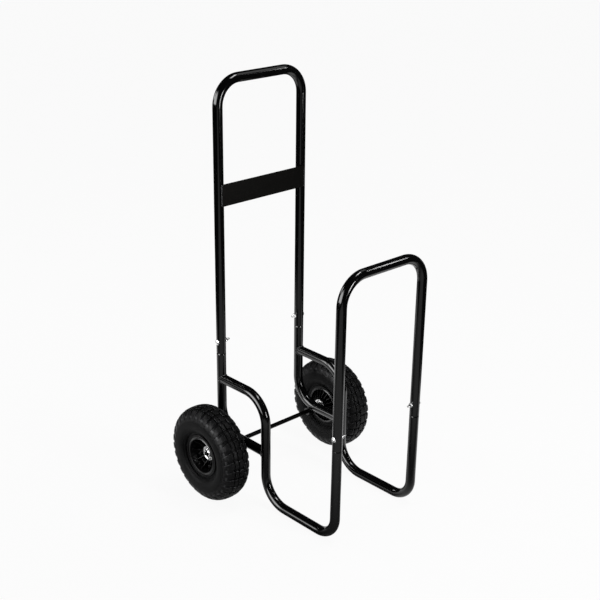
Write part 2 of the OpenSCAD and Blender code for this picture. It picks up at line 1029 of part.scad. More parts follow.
module valve_cap() {
    height = valve_rise - cap_foot;
    color(BLACK_PLASTIC)
        at_valve()
            translate([-cap_foot, 0, valve_r])
                rotate([0, -90, 0])
                    difference() {
                        cylinder(d = valve_d, h = height);
                        translate([0, 0, -1])
                            cylinder(r = valve_thread_r + tyre_gap, h = height - cap_top_t + 1 + eps);
                    }
}

// ---------------------------------------------------------------- nodes

handle_hoop();
cross_plate();
on_side("left") color(BLACK_PAINT) rear_post();  // left_rear_post
on_side("right") color(BLACK_PAINT) rear_post();  // right_rear_post
on_side("left") color(BLACK_PAINT) side_rail();  // left_side_rail
on_side("right") color(BLACK_PAINT) side_rail();  // right_side_rail
front_hoop();
weld_beads();
on_both_sides() at_handle_seam() joint_bolt();  // handle_joint_bolts
on_both_sides() at_handle_seam() joint_nut();  // handle_joint_nuts
on_both_sides() at_hoop_seam() joint_bolt();  // front_joint_bolts
on_both_sides() at_hoop_seam() joint_nut();  // front_joint_nuts
axle();
on_side("left") axle_sleeve();  // left_axle_sleeve
on_side("right") axle_sleeve();  // right_axle_sleeve
on_both_sides() axle_washer();  // axle_washers
on_both_sides() bearing_cone_pair();  // bearing_cones
on_both_sides() push_nut();  // push_nuts
on_side("left") tyre();  // left_tyre
on_side("left") inner_tube();  // left_inner_tube
on_side("left") rim_outer_half();  // left_rim_outer_half
on_side("left") rim_inner_half();  // left_rim_inner_half
on_side("left") rim_bolt_set();  // left_rim_bolts
on_side("left") rim_nut_set();  // left_rim_nuts
on_side("left") at_outer_bearing() bearing_shell();  // left_outer_bearing
on_side("left") at_inner_bearing() bearing_shell();  // left_inner_bearing
on_side("left") ball_ring_pair();  // left_bearing_balls
on_side("left") valve_stem();  // left_valve_stem
on_side("left") valve_cap();  // left_valve_cap
on_side("right") tyre();  // right_tyre
on_side("right") inner_tube();  // right_inner_tube
on_side("right") rim_outer_half();  // right_rim_outer_half
on_side("right") rim_inner_half();  // right_rim_inner_half
on_side("right") rim_bolt_set();  // right_rim_bolts
on_side("right") rim_nut_set();  // right_rim_nuts
on_side("right") at_outer_bearing() bearing_shell();  // right_outer_bearing
on_side("right") at_inner_bearing() bearing_shell();  // right_inner_bearing
on_side("right") ball_ring_pair();  // right_bearing_balls
on_side("right") valve_stem();  // right_valve_stem
on_side("right") valve_cap();  // right_valve_cap
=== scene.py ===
"""Fireside log cart: the finished pieces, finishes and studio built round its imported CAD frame."""

import math

import bmesh
import bpy
from mathutils import Matrix, Vector


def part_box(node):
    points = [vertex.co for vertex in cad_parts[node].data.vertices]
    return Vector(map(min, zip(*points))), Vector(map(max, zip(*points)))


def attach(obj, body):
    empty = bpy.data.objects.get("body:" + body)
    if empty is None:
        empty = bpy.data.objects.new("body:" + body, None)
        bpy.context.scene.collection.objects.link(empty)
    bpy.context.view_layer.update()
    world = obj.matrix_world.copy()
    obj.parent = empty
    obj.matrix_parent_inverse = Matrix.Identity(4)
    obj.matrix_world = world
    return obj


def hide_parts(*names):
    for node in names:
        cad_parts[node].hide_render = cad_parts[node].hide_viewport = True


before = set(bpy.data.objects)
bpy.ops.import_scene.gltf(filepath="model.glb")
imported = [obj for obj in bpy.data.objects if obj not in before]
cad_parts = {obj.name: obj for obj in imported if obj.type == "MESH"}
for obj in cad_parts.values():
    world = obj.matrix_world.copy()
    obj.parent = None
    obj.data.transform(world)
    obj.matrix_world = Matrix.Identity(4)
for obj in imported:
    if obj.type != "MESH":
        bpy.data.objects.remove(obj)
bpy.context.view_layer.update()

bl_info = {
    "name": "Fireside log cart",
    "version": (1, 0, 0),
    "blender": (4, 5, 0),
    "location": "3D View > Sidebar > Log Cart",
    "description": "Builds the pieces and finishes of a bent-tube log cart on two pneumatic wheels",
    "category": "Object",
}

MM = 0.001
TURN = 2 * math.pi


def vec(*numbers):
    return Vector(numbers)


def middle(node):
    """The middle of a CAD node's box."""
    low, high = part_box(node)
    return (low + high) / 2


def size(node):
    """The size of a CAD node's box."""
    low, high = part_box(node)
    return high - low


# Forwards, out to the cart's left (which is out of the left wheel too), and up
FORE, OUT, UP = vec(1, 0, 0), vec(0, 1, 0), vec(0, 0, 1)

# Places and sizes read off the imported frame
WHEEL = middle("left_tyre")
TYRE_R = size("left_tyre").x / 2
TYRE_HALF_W = size("left_tyre").y / 2
PLATE_LOW, PLATE_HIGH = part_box("cross_plate")
POST_X = middle("handle_hoop").x
SIDE_Y = PLATE_HIGH.y

# The frame's tubes, bends and lines, as in the CAD, and a tube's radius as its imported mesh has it
TUBE_R = 12.7 * MM
SKIN_R = size("handle_hoop").x / 2
BEND_R = 75 * MM
UPPER_RAIL_Z = 304 * MM
LOWER_RAIL_Z = 149.96 * MM
RISER_X = -10.575 * MM

# The joint bolts and nuts, as in the CAD
BOLT_R = 3.15 * MM
BOLT_HEAD_R = 7.25 * MM
BOLT_HEAD_H = 3.6 * MM
BOLT_TAIL = 14.8 * MM
NUT_FLATS = 11 * MM
NUT_H = 5.4 * MM

# The tyre's section, as in the CAD: squared-off ellipses about its waist, of these powers
TREAD_POWER = 2.6
CASING_POWER = 2.45
WAIST_R = TYRE_R - TYRE_HALF_W
TREAD_RISE = TYRE_R - WAIST_R
CASING_T = 5 * MM
SIDEWALL_CLEAR = 8 * MM
SIDEWALL_END = 45
BEAD_FACE = 29.3 * MM
# The two rings moulded round its casing: radii and heights, and their width
RINGS = ((98.5 * MM, 0.3 * MM), (71.5 * MM, 0.45 * MM))
RING_W = 1.3 * MM
# Where the rows of lugs end and begin, measured from the tyre's middle plane
CENTRE_TO, MIDDLE_FROM, MIDDLE_TO, SHOULDER_FROM = 6 * MM, 9.5 * MM, 18.5 * MM, 22 * MM

# The rim, as in the CAD: radii, then distances out from the tyre's middle plane
THROUGH_R = 14.3 * MM
SEAT_R = 17.55 * MM
HUB_R = 22 * MM
BARREL_R = 47 * MM
BEAD_R = 50.5 * MM
FLANGE_R = 59 * MM
WALL = 3.5 * MM
RIM_EDGE = 33 * MM
SPLIT = -6 * MM
OUTER_WEB, INNER_WEB = 4 * MM, -9.5 * MM
RIM_BOLTS = 5
FIRST_BOLT = 58
RIM_BOLT_R = 2.5 * MM
RIM_NUT_FLATS = 8 * MM
BOSS_H = 1.5 * MM
# The shallow channel in the flange's face: radii, and depths under the rim's edge
CHANNEL = (
    (BARREL_R + 2.6 * MM, 1.1 * MM),
    (FLANGE_R - 5.2 * MM, 2.1 * MM),
    (FLANGE_R - 4.2 * MM, 1.9 * MM),
    (FLANGE_R - 3.1 * MM, 0.9 * MM),
)


def spoke(degrees):
    """The direction out from the wheels' axis at an angle up from the front."""
    return vec(math.cos(math.radians(degrees)), 0, math.sin(math.radians(degrees)))


RIM_BOLT = WHEEL + spoke(FIRST_BOLT) * 38.5 * MM


# ---------------------------------------------------------------- settings


def length(name, description, default, low, high):
    return bpy.props.FloatProperty(
        name=name, description=description, default=default, min=low, max=high, unit="LENGTH", precision=4
    )


def share(name, description, default):
    return bpy.props.FloatProperty(
        name=name, description=description, default=default, min=0.0, max=1.0, subtype="FACTOR"
    )


def power(name, description, default):
    return bpy.props.FloatProperty(
        name=name, description=description, default=default, min=0.0, unit="POWER"
    )


def colour(name, description, default):
    return bpy.props.FloatVectorProperty(
        name=name, description=description, default=default, size=3, min=0.0, max=1.0, subtype="COLOR"
    )


class PaintSettings(bpy.types.PropertyGroup):
    tube_colour: colour("Tube colour", "Powder coat on the tubes", (0.0016, 0.0016, 0.0017))
    tube_roughness: share("Tube roughness", "Roughness of the powder coat", 0.11)
    peel: share("Orange peel", "Strength of the powder coat's ripple", 0.04)
    plate_colour: colour("Plate colour", "Paint on the cross plate", (0.0034, 0.0031, 0.0026))
    plate_roughness: share("Plate roughness", "Roughness of the plate's paint", 0.62)
    axle_colour: colour("Axle colour", "Finish of the axle rod", (0.0012, 0.0012, 0.0012))


class PlateSettings(bpy.types.PropertyGroup):
    corner: length("Corner", "Radius of the plate's corners", 3 * MM, 1 * MM, 8 * MM)
    edge: length("Edge", "Rounding along the plate's sheared edges", 0.35 * MM, 0.1 * MM, 0.8 * MM)


class WeldSettings(bpy.types.PropertyGroup):
    bead: length("Bead", "Radius of a weld bead", 2.1 * MM, 1 * MM, 3 * MM)
    ripple: length("Ripple", "Distance between two ripples of a bead", 2.1 * MM, 1 * MM, 4 * MM)


class BoltSettings(bpy.types.PropertyGroup):
    pitch: length("Thread pitch", "Pitch of the joint bolts' thread", 1 * MM, 0.5 * MM, 2 * MM)
    thread: length("Thread depth", "Depth of that thread", 0.45 * MM, 0.1 * MM, 0.8 * MM)
    zinc_colour: colour("Zinc colour", "Zinc plating on bolts, nuts, washers and bearings", (0.9, 0.9, 0.9))
    zinc_roughness: share("Zinc roughness", "Roughness of the zinc plating", 0.26)


class TyreSettings(bpy.types.PropertyGroup):
    lugs: bpy.props.IntProperty(
        name="Lugs", description="Number of lugs in each row", default=30, min=24, max=36
    )
    lug_height: length("Lug height", "Height of the lugs over the casing", 4 * MM, 2 * MM, 5 * MM)
    lug_length: length("Lug length", "Length of a lug round the tyre", 19 * MM, 12 * MM, 20 * MM)
    shoulder_reach: length("Shoulder reach", "Depth of the shoulder lugs' reach", 28 * MM, 22 * MM, 32 * MM)
    lug_corner: length("Lug corner", "Radius of a lug's corners", 2.4 * MM, 1 * MM, 4 * MM)
    lug_edge: length("Lug edge", "Rounding along a lug's top edge", 1.1 * MM, 0.2 * MM, 1.5 * MM)
    lug_taper: share("Lug taper", "How much the shoulder lugs narrow towards the sidewall", 0.36)
    rubber_colour: colour("Rubber colour", "The tyres' rubber", (0.009, 0.009, 0.0095))
    rubber_roughness: share("Rubber roughness", "Roughness of the tyres' rubber", 0.58)


class RimSettings(bpy.types.PropertyGroup):
    fillet: length("Fillet", "Radius where the web meets the hub and the barrel", 1.6 * MM, 0.5 * MM, 3 * MM)
    plastic_colour: colour("Plastic colour", "The moulded rims", (0.0035, 0.0035, 0.0038))
    plastic_roughness: share("Plastic roughness", "Roughness of the moulded rims", 0.22)


class StudioSettings(bpy.types.PropertyGroup):
    floor_colour: colour("Floor colour", "The studio's floor", (0.8, 0.8, 0.8))
    key_power: power("Key power", "Power of the overhead lamp", 22.0)
    strip_power: power("Strip power", "Power of each of the strip lamps", 16.0)
    panel_power: power("Panel power", "Power of the dim panel over the handle", 0.75)
    surround: share("Surround", "Brightness of the studio's walls, as soft light on the cart", 0.4)
    front: share("Front", "Brightness of the floor before the cart, as its gloss shows it", 0.42)
    sweep: share("Sweep", "Brightness of the floor behind the cart, as its gloss shows it", 1.0)
    side: bpy.props.FloatProperty(
        name="Side",
        description="Brightness of the room beside the cart, as its gloss shows it",
        default=8.5,
        min=0.0,
    )
    gloom: share("Gloom", "Brightness of the rest of the room, as the cart's gloss shows it", 0.012)


class CartSettings(bpy.types.PropertyGroup):
    paint: bpy.props.PointerProperty(type=PaintSettings)
    plate: bpy.props.PointerProperty(type=PlateSettings)
    weld: bpy.props.PointerProperty(type=WeldSettings)
    bolt: bpy.props.PointerProperty(type=BoltSettings)
    tyre: bpy.props.PointerProperty(type=TyreSettings)
    rim: bpy.props.PointerProperty(type=RimSettings)
    studio: bpy.props.PointerProperty(type=StudioSettings)


# ---------------------------------------------------------------- modelling


def to_objects():
    """Leaves the piece that is open and deselects everything."""
    if bpy.context.object is not None and bpy.context.object.mode != "OBJECT":
        bpy.ops.object.mode_set(mode="OBJECT")
    bpy.ops.object.select_all(action="DESELECT")


def choose(piece):
    """Makes a piece the only one that is selected."""
    to_objects()
    piece.select_set(True)
    bpy.context.view_layer.objects.active = piece


def reopen(piece):
    choose(piece)
    bpy.ops.object.mode_set(mode="EDIT")


def begin(name, primitive, **place):
    """Adds a primitive as a new piece, settles its place into its mesh and opens it for editing."""
    to_objects()
    primitive(**place)
    piece = bpy.context.object
    piece.name = piece.data.name = name
    bpy.ops.object.transform_apply(location=True, rotation=True, scale=True)
    bpy.ops.object.mode_set(mode="EDIT")
    return piece


def select_all():
    bpy.ops.mesh.select_all(action="SELECT")


def pick(kind, wanted):
    """Selects only those verts, edges or faces of the open piece that the test wants."""
    bpy.ops.mesh.select_mode(type={"verts": "VERT", "edges": "EDGE", "faces": "FACE"}[kind])
    bpy.ops.mesh.select_all(action="DESELECT")
    mesh = bmesh.from_edit_mesh(bpy.context.edit_object.data)
    for item in getattr(mesh, kind):
        item.select_set(bool(wanted(item)))
    mesh.select_flush_mode()
    bmesh.update_edit_mesh(bpy.context.edit_object.data)


def push(step):
    """Extrudes what is selected by a step."""
    bpy.ops.mesh.extrude_region_move(TRANSFORM_OT_translate={"value": step})


def stretch(x, y, z, centre):
    bpy.ops.transform.resize(value=(x, y, z), center_override=centre)


def bevel(width, segments=2, affect="EDGES"):
    bpy.ops.mesh.bevel(offset=width, segments=segments, affect=affect, clamp_overlap=True)


def spin(centre, steps, angle=TURN):
    """Sweeps all of the open piece round a line along Y."""
    select_all()
    bpy.ops.mesh.spin(steps=steps, angle=angle, center=centre, axis=OUT)


def repeat_round(copies):
    """Copies all of the open piece round the left wheel's axis, evenly over the full turn."""
    select_all()
    angle = TURN * (copies - 1) / copies
    bpy.ops.mesh.spin(steps=copies - 1, angle=angle, center=WHEEL, axis=OUT, dupli=True)


def turn_round(angle):
    """Turns all of the open piece round the left wheel's axis."""
    select_all()
    bpy.ops.transform.rotate(value=angle, orient_axis="Y", center_override=WHEEL)


def face_outwards():
    select_all()
    bpy.ops.mesh.normals_make_consistent(inside=False)


def heal():
    """Merges what lies together and turns every face outwards."""
    bpy.ops.mesh.select_mode(type="VERT")
    select_all()
    bpy.ops.mesh.remove_doubles(threshold=0.002 * MM)
    face_outwards()


def draw(name, points):
    """Draws a line of edges through the points, one vertex at a time, as a new piece."""
    piece = begin(name, bpy.ops.mesh.primitive_plane_add, size=MM)
    bpy.ops.mesh.select_mode(type="VERT")
    select_all()
    bpy.ops.mesh.merge(type="CENTER")
    bpy.ops.transform.translate(value=points[0])
    for here, there in zip(points, points[1:]):
        push(there - here)
    return piece


def turned(name, outline, steps, centre=WHEEL, copies=1, angle=TURN):
    """Turns an outline of (radius, distance along Y) pairs round a line along Y, as on a lathe."""
    piece = draw(name, [centre + FORE * radius + OUT * along for radius, along in outline])
    spin(centre, steps, angle)
    heal()
    if copies > 1:
        repeat_round(copies)
    to_objects()
    return piece


def arc(centre_r, centre_s, radius, start, end, steps=4):
    """Points of an outline on an arc, with angles in degrees."""
    angles = [math.radians(start + (end - start) * i / steps) for i in range(steps + 1)]
    return [(centre_r + radius * math.cos(a), centre_s + radius * math.sin(a)) for a in angles]


def thread_outline(start, end, radius, depth, pitch):
    """The zigzag outline of a thread between two distances along its axis."""
    turns = max(1, round((end - start) / pitch))
    step = (end - start) / turns
    outline = []
    for i in range(turns):
        outline += [(radius - depth, start + i * step), (radius, start + (i + 0.5) * step)]
    return outline + [(radius - depth, end)]


def hexagon(name, centre, turn, flats, height):
    """A hexagon along Y with chamfered corners, left open."""
    piece = begin(
        name,
        bpy.ops.mesh.primitive_cylinder_add,
        vertices=6,
        radius=flats / math.sqrt(3),
        depth=height,
        location=centre,
        rotation=(math.pi / 2, math.radians(turn), 0),
    )
    pick("faces", lambda f: abs(f.normal.y) > 0.9)
    bpy.ops.mesh.inset(thickness=0.09 * flats, use_individual=True)
    bpy.ops.mesh.inset(thickness=0.02 * flats, use_individual=True)
    pick("edges", lambda e: abs(e.verts[0].co.y - e.verts[1].co.y) < 0.001 * MM and is_sharp(e))
    bevel(0.06 * flats)
    pick("edges", lambda e: is_sharp(e, 50))
    bevel(0.02 * flats, 1)
    heal()
    return piece


def is_sharp(edge, degrees=40):
    return len(edge.link_faces) == 2 and edge.calc_face_angle(0) > math.radians(degrees)


def apply(piece, kind, **settings):
    """Adds a modifier to a piece and applies it."""
    choose(piece)
    modifier = piece.modifiers.new(kind.title(), kind)
    for key, value in settings.items():
        setattr(modifier, key, value)
    bpy.ops.object.modifier_apply(modifier=modifier.name)


def joined(name, pieces):
    """Joins pieces into the first of them."""
    choose(pieces[0])
    for piece in pieces:
        piece.select_set(True)
    bpy.ops.object.join()
    pieces[0].name = pieces[0].data.name = name
    return pieces[0]


def mirrored(piece, name):
    """A piece's mirror image on the other side of the cart, with a mesh of its own."""
    choose(piece)
    bpy.ops.object.duplicate(linked=False)
    copy = bpy.context.object
    copy.name = copy.data.name = name
    reopen(copy)
    select_all()
    stretch(1, -1, 1, (0, 0, 0))
    face_outwards()
    to_objects()
    return copy


def done(piece, finish, body, slot, *nodes, smooth=35):
    """Shades a piece, gives it its finish and hangs it on its body in place of its CAD nodes."""
    choose(piece)
    bpy.ops.object.shade_smooth_by_angle(angle=math.radians(smooth))
    piece.data.materials.clear()
    piece.data.materials.append(FINISHES[finish])
    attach(piece, body)
    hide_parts(*nodes)


def on_frame(piece, name, finish, slot, node, smooth=35):
    """Finishes a piece of the frame's left side, joined to its mirror image on the right."""
    both = joined(name, [piece, mirrored(piece, name + "_right")])
    done(both, finish, "frame", slot, node, smooth=smooth)


def on_wheels(piece, name, finish, slot, node, smooth=35):
    """Finishes a left wheel's piece and its mirror image on the right wheel."""
    other = mirrored(piece, f"right_{name}")
    piece.name = piece.data.name = f"left_{name}"
    for side, made in (("left", piece), ("right", other)):
        done(made, finish, f"{side}_wheel", slot, f"{side}_{node}", smooth=smooth)


# ---------------------------------------------------------------- finishes


class Value:
    """A number that varies over a surface. Python's operators add the Math nodes."""

    def __init__(self, graph, socket):
        self.graph = graph
        self.socket = socket

    def math(self, operation, *numbers):
        return self.graph.node("ShaderNodeMath", {"operation": operation}, dict(enumerate(numbers)))

    def __add__(self, other):
        return self.math("ADD", self, other)

    __radd__ = __add__

    def __sub__(self, other):
        return self.math("SUBTRACT", self, other)

    def __rsub__(self, other):
        return self.math("SUBTRACT", other, self)

    def __mul__(self, other):
        return self.math("MULTIPLY", self, other)

    __rmul__ = __mul__

    def __pow__(self, other):
        return self.math("POWER", self, other)

    def __abs__(self):
        return self.math("ABSOLUTE", self)

    def at_least(self, other):
        return self.math("MAXIMUM", self, other)

    def ramp(self, low, high):
        """0 below low and 1 above high, eased between them."""
        return self.graph.node(
            "ShaderNodeMapRange",
            {"interpolation_type": "SMOOTHSTEP"},
            {"Value": self, "From Min": low, "From Max": high, "To Min": 0.0, "To Max": 1.0},
        )

    def band(self, low, full_from, full_to, high):
        """1 in the middle of a band, eased to 0 at its two ends."""
        return self.ramp(low, full_from) * (1 - self.ramp(full_to, high))


class Graph:
    """A node tree under construction."""

    def __init__(self, tree, coordinates):
        self.tree = tree
        self.place = self.node("ShaderNodeTexCoord", output=coordinates)

    def node(self, kind, settings=None, sockets=None, output=0):
        """Adds a node, sets it up, fills or links its sockets and gives one of its outputs."""
        node = self.tree.nodes.new(kind)
        for key, value in (settings or {}).items():
            setattr(node, key, value)
        for key, value in (sockets or {}).items():
            if isinstance(value, Value):
                self.tree.links.new(value.socket, node.inputs[key])
            else:
                node.inputs[key].default_value = value
        return Value(self, node.outputs[output])

    def ray(self, kind):
        """1 for rays of one kind and 0 for the rest."""
        return self.node("ShaderNodeLightPath", output=f"Is {kind} Ray")

    def seen(self):
        """1 for rays from the camera, also through something clear, and 0 for the rest."""
        return self.ray("Camera").at_least(self.ray("Transmission"))

    def along(self, direction):
        """How far the place lies along a direction."""
        sockets = {0: self.place, 1: direction}
        return self.node("ShaderNodeVectorMath", {"operation": "DOT_PRODUCT"}, sockets, output="Value")

    def from_axle(self):
        """How far the place lies from the wheels' axis."""
        ahead, up = self.along(FORE) - WHEEL.x, self.along(UP) - WHEEL.z
        return (ahead * ahead + up * up) ** 0.5

    def noise(self, scale, detail=2.0, roughness=0.5, place=None):
        return self.node(
            "ShaderNodeTexNoise",
            {},
            {"Vector": place or self.place, "Scale": scale, "Detail": detail, "Roughness": roughness},
        )

    def stretched(self, scale):
        """The piece's own coordinates, stretched along its axes."""
        return self.node("ShaderNodeMapping", {}, {"Vector": self.place, "Scale": scale})

    def shades(self, factor, rgb, low, high):
        """A colour between two shades of another."""
        first, second = ((*(min(1.0, part * shade) for part in rgb), 1.0) for shade in (low, high))
        sockets = {0: factor, 6: first, 7: second}
        return self.node("ShaderNodeMix", {"data_type": "RGBA"}, sockets, output=2)

    def light(self, strength):
        return self.node("ShaderNodeEmission", {}, {"Color": (1, 1, 1, 1), "Strength": strength})

    def blend(self, factor, low, high):
        """A mixture of two shaders."""
        return self.node("ShaderNodeMixShader", {}, {0: factor, 1: low, 2: high})


class Finish(Graph):
    """A material round one Principled shader."""

    def __init__(self, name, **constants):
        self.material = bpy.data.materials.new(name)
        self.material.use_nodes = True
        super().__init__(self.material.node_tree, "Object")
        self.shader = self.tree.nodes["Principled BSDF"]
        for socket, value in constants.items():
            self.shader.inputs[socket.replace("_", " ")].default_value = value

    def give(self, **values):
        for socket, value in values.items():
            self.tree.links.new(value.socket, self.shader.inputs[socket.replace("_", " ")])

    def bump(self, height, strength, distance):
        """Adds the relief, which is a finish's last part, and gives its material."""
        sockets = {"Height": height, "Strength": strength, "Distance": distance}
        self.give(Normal=self.node("ShaderNodeBump", {}, sockets))
        return self.material


FINISHES = {}


def powder_coat(paint):
    """Black gloss powder coat with a fine orange peel."""
    finish = Finish("gloss_powder_coat", IOR=1.5, Coat_Weight=0.0)
    peel = finish.noise(620.0, 1.5, 0.45)
    broad = finish.noise(14.0, 3.0, 0.55)
    specks = finish.noise(2600.0, 1.0).ramp(0.74, 0.8)
    finish.give(
        Base_Color=finish.shades(broad.ramp(0.3, 0.7), paint.tube_colour, 0.85, 1.2),
        Roughness=paint.tube_roughness - 0.035 + broad * 0.07 + specks * 0.12,
    )
    return finish.bump(peel + specks * 0.25, paint.peel, 0.5 * MM)


def plate_paint(paint):
    """Dull black paint on rolled sheet, with faint rolling lines."""
    finish = Finish("satin_plate_paint", IOR=1.45, Specular_IOR_Level=0.1)
    lines = finish.noise(90.0, 3.0, 0.6, place=finish.stretched((1.0, 0.06, 1.0)))
    grain = finish.noise(900.0, 2.0, 0.5)
    broad = finish.noise(11.0, 3.0, 0.6)
    finish.give(
        Base_Color=finish.shades(broad * 0.6 + lines * 0.4, paint.plate_colour, 0.75, 1.35),
        Roughness=paint.plate_roughness - 0.06 + grain * 0.08 + broad * 0.06,
    )
    return finish.bump(grain * 0.7 + lines * 0.3, 0.12, 0.4 * MM)


def weld_paint(paint):
    """Powder coat drawn thin over a weld, with the bead's burnt grain showing through."""
    finish = Finish("coated_weld", IOR=1.5)
    patches = finish.noise(160.0, 3.0, 0.6)
    finish.give(
        Base_Color=finish.shades(patches.ramp(0.35, 0.7), paint.tube_colour, 5.0, 26.0),
        Roughness=paint.tube_roughness + 0.06 + patches * 0.2,
    )
    return finish.bump(finish.noise(1100.0, 3.0, 0.65), 0.3, 0.4 * MM)


def axle_black(paint):
    """Thin black paint on drawn bar, rubbed along its length."""
    finish = Finish("black_axle", IOR=1.45, Specular_IOR_Level=0.08)
    drawn = finish.noise(700.0, 2.0, 0.5, place=finish.stretched((1.0, 0.03, 1.0)))
    rubbed = finish.noise(45.0, 4.0, 0.6).ramp(0.62, 0.72)
    finish.give(
        Base_Color=finish.shades(rubbed, paint.axle_colour, 1.0, 3.0),
        Roughness=0.26 + drawn * 0.12,
        Metallic=rubbed * 0.15,
    )
    return finish.bump(drawn, 0.12, 0.3 * MM)


def zinc_plate(bolt):
    """Bright zinc plating with faint clouding and handling marks."""
    finish = Finish("bright_zinc", Metallic=0.9)
    cloud = finish.noise(95.0, 4.0, 0.6)
    pits = finish.noise(820.0, 1.0).ramp(0.7, 0.78)
    finish.give(
        Base_Color=finish.shades(cloud.ramp(0.3, 0.7), bolt.zinc_colour, 0.86, 1.06),
        Roughness=bolt.zinc_roughness - 0.05 + cloud * 0.1 + pits * 0.12,
    )
    return finish.bump(finish.noise(1500.0, 2.0, 0.55) - pits * 0.4, 0.08, 0.2 * MM)


def pressed_zinc(bolt):
    """Zinc plating on rings that were turned in a press, which left fine circles round the wheel's axis."""
    finish = Finish("pressed_zinc", Metallic=0.7)
    sockets = {"W": finish.from_axle(), "Scale": 1600.0}
    circles = finish.node("ShaderNodeTexNoise", {"noise_dimensions": "1D"}, sockets)
    cloud = finish.noise(95.0, 4.0, 0.6)
    finish.give(
        Base_Color=finish.shades(cloud.ramp(0.3, 0.7), bolt.zinc_colour, 0.9, 1.06),
        Roughness=bolt.zinc_roughness - 0.16 + cloud * 0.08,
    )
    return finish.bump(circles, 0.15, 0.3 * MM)


def dull_steel(bolt):
    """Oiled black steel of the rim bolts."""
    finish = Finish("oiled_steel", Metallic=1.0)
    film = finish.noise(160.0, 3.0, 0.6)
    finish.give(Base_Color=finish.shades(film, bolt.zinc_colour, 0.03, 0.1), Roughness=0.3 + film * 0.15)
    return finish.bump(finish.noise(1800.0), 0.06, 0.1 * MM)


def bearing_steel(bolt):
    """Ground steel with a film of grease in its hollows."""
    finish = Finish("ground_steel", Metallic=1.0)
    film = finish.noise(210.0, 3.0, 0.6)
    finish.give(
        Base_Color=finish.shades(film.ramp(0.45, 0.7), bolt.zinc_colour, 0.84, 0.45),
        Roughness=0.16 + film * 0.16,
    )
    return finish.bump(finish.noise(2400.0), 0.05, 0.1 * MM)


def tyre_rubber(tyre, name="tyre_rubber", gloss=0.0):
    """Matt black rubber with a dry bloom, with painted shade darkest between the rows of lugs and a painted
    highlight on the lugs' edges.
    """
    finish = Finish(name, IOR=1.4, Specular_IOR_Level=0.08, Coat_Roughness=0.42, Coat_IOR=1.4)
    radius = finish.from_axle()
    off_middle = abs(abs(finish.along(OUT)) - WHEEL.y)
    rise, across = (radius - WAIST_R).at_least(0.0) * (1 / TREAD_RISE), off_middle * (1 / TYRE_HALF_W)
    level = (rise**TREAD_POWER + across**TREAD_POWER) ** (1 / TREAD_POWER)
    fade = 1 * MM
    between_rows = off_middle.band(CENTRE_TO - fade, CENTRE_TO, MIDDLE_FROM, MIDDLE_FROM + fade)
    between_rows += off_middle.band(MIDDLE_TO - fade, MIDDLE_TO, SHOULDER_FROM, SHOULDER_FROM + fade)
    on_lugs = radius.ramp(TYRE_R - 34 * MM, TYRE_R - 27 * MM)
    top = level.ramp(0.93, 0.975)
    # Painted shade: the grooves between and across the lugs are darkened in colour, darkest between the rows;
    # the same mask makes the lug tops glossier in the coat
    wear_and_groove_shade = (top + (1 - top) * (1 - between_rows) * 0.8) * on_lugs + (1 - on_lugs) * 0.5
    # Painted highlight: the lugs' rounded top edges are lightened in colour, and their coat is glossier
    edges = level.band(0.95, 0.966, 0.982, 0.99) * radius.ramp(TYRE_R - 24 * MM, TYRE_R - 16 * MM)
    bloom = finish.noise(26.0, 5.0, 0.62)
    mottle = finish.noise(190.0, 4.0, 0.6)
    dust = 0.045 + (bloom * 0.5 + mottle * 0.5).ramp(0.4, 0.64) * 0.13
    finish.give(
        Base_Color=finish.shades(wear_and_groove_shade * dust + edges * 1.5, tyre.rubber_colour, 0.12, 5.0),
        Roughness=tyre.rubber_roughness - gloss - 0.08 + mottle * 0.18,
        Coat_Weight=wear_and_groove_shade * wear_and_groove_shade * (0.08 + mottle * 0.36) + edges * 0.5,
    )
    return finish.bump(finish.noise(1500.0, 2.0, 0.6) * 0.6 + mottle * 0.4, 0.22, 0.35 * MM)


def rim_plastic(rim):
    """Glass-filled black plastic with a fine moulded grain, rubbed to a gloss on the lip of the dish."""
    finish = Finish("moulded_plastic", IOR=1.5, Specular_IOR_Level=0.06, Coat_Roughness=0.3, Coat_IOR=1.5)
    radius = finish.from_axle()
    lip, in_dish = radius.band(45.5 * MM, 47.5 * MM, 50.5 * MM, 53 * MM), 1 - radius.ramp(44 * MM, 46 * MM)
    grain = finish.noise(1300.0, 2.0, 0.5)
    flow = finish.noise(40.0, 4.0, 0.6)
    finish.give(
        Base_Color=finish.shades(flow.ramp(0.35, 0.7), rim.plastic_colour, 0.8, 1.35),
        Roughness=rim.plastic_roughness - 0.05 + flow * 0.1 + grain * 0.06,
        Coat_Weight=lip * 0.85 + in_dish * 0.16,
    )
    return finish.bump(grain, 0.14, 0.25 * MM)


class PieceOperator(bpy.types.Operator):
    """Builds one group of the cart's pieces."""

    bl_options = {"REGISTER", "UNDO"}

    def execute(self, context):
        self.build(context.scene.log_cart)
        return {"FINISHED"}


class LOGCART_OT_finishes(PieceOperator):
    """Makes the cart's finishes"""

    bl_idname = "log_cart.finishes"
    bl_label = "Finishes"

    def build(self, cart):
        FINISHES.update(
            powder=powder_coat(cart.paint),
            plate=plate_paint(cart.paint),
            weld=weld_paint(cart.paint),
            axle=axle_black(cart.paint),
            zinc=zinc_plate(cart.bolt),
            pressed_zinc=pressed_zinc(cart.bolt),
            dull_steel=dull_steel(cart.bolt),
            steel=bearing_steel(cart.bolt),
            rubber=tyre_rubber(cart.tyre),
            tube_rubber=tyre_rubber(cart.tyre, "valve_rubber", gloss=0.12),
            plastic=rim_plastic(cart.rim),
        )


# ---------------------------------------------------------------- frame


CAD_FINISHES = {
    "powder": (
        "handle_hoop front_hoop left_rear_post right_rear_post left_side_rail right_side_rail "
        "left_axle_sleeve right_axle_sleeve"
    ),
    "axle": "axle",
    "zinc": "axle_washers",
    "steel": "bearing_cones left_bearing_balls right_bearing_balls",
    "tube_rubber": "left_inner_tube right_inner_tube",
}


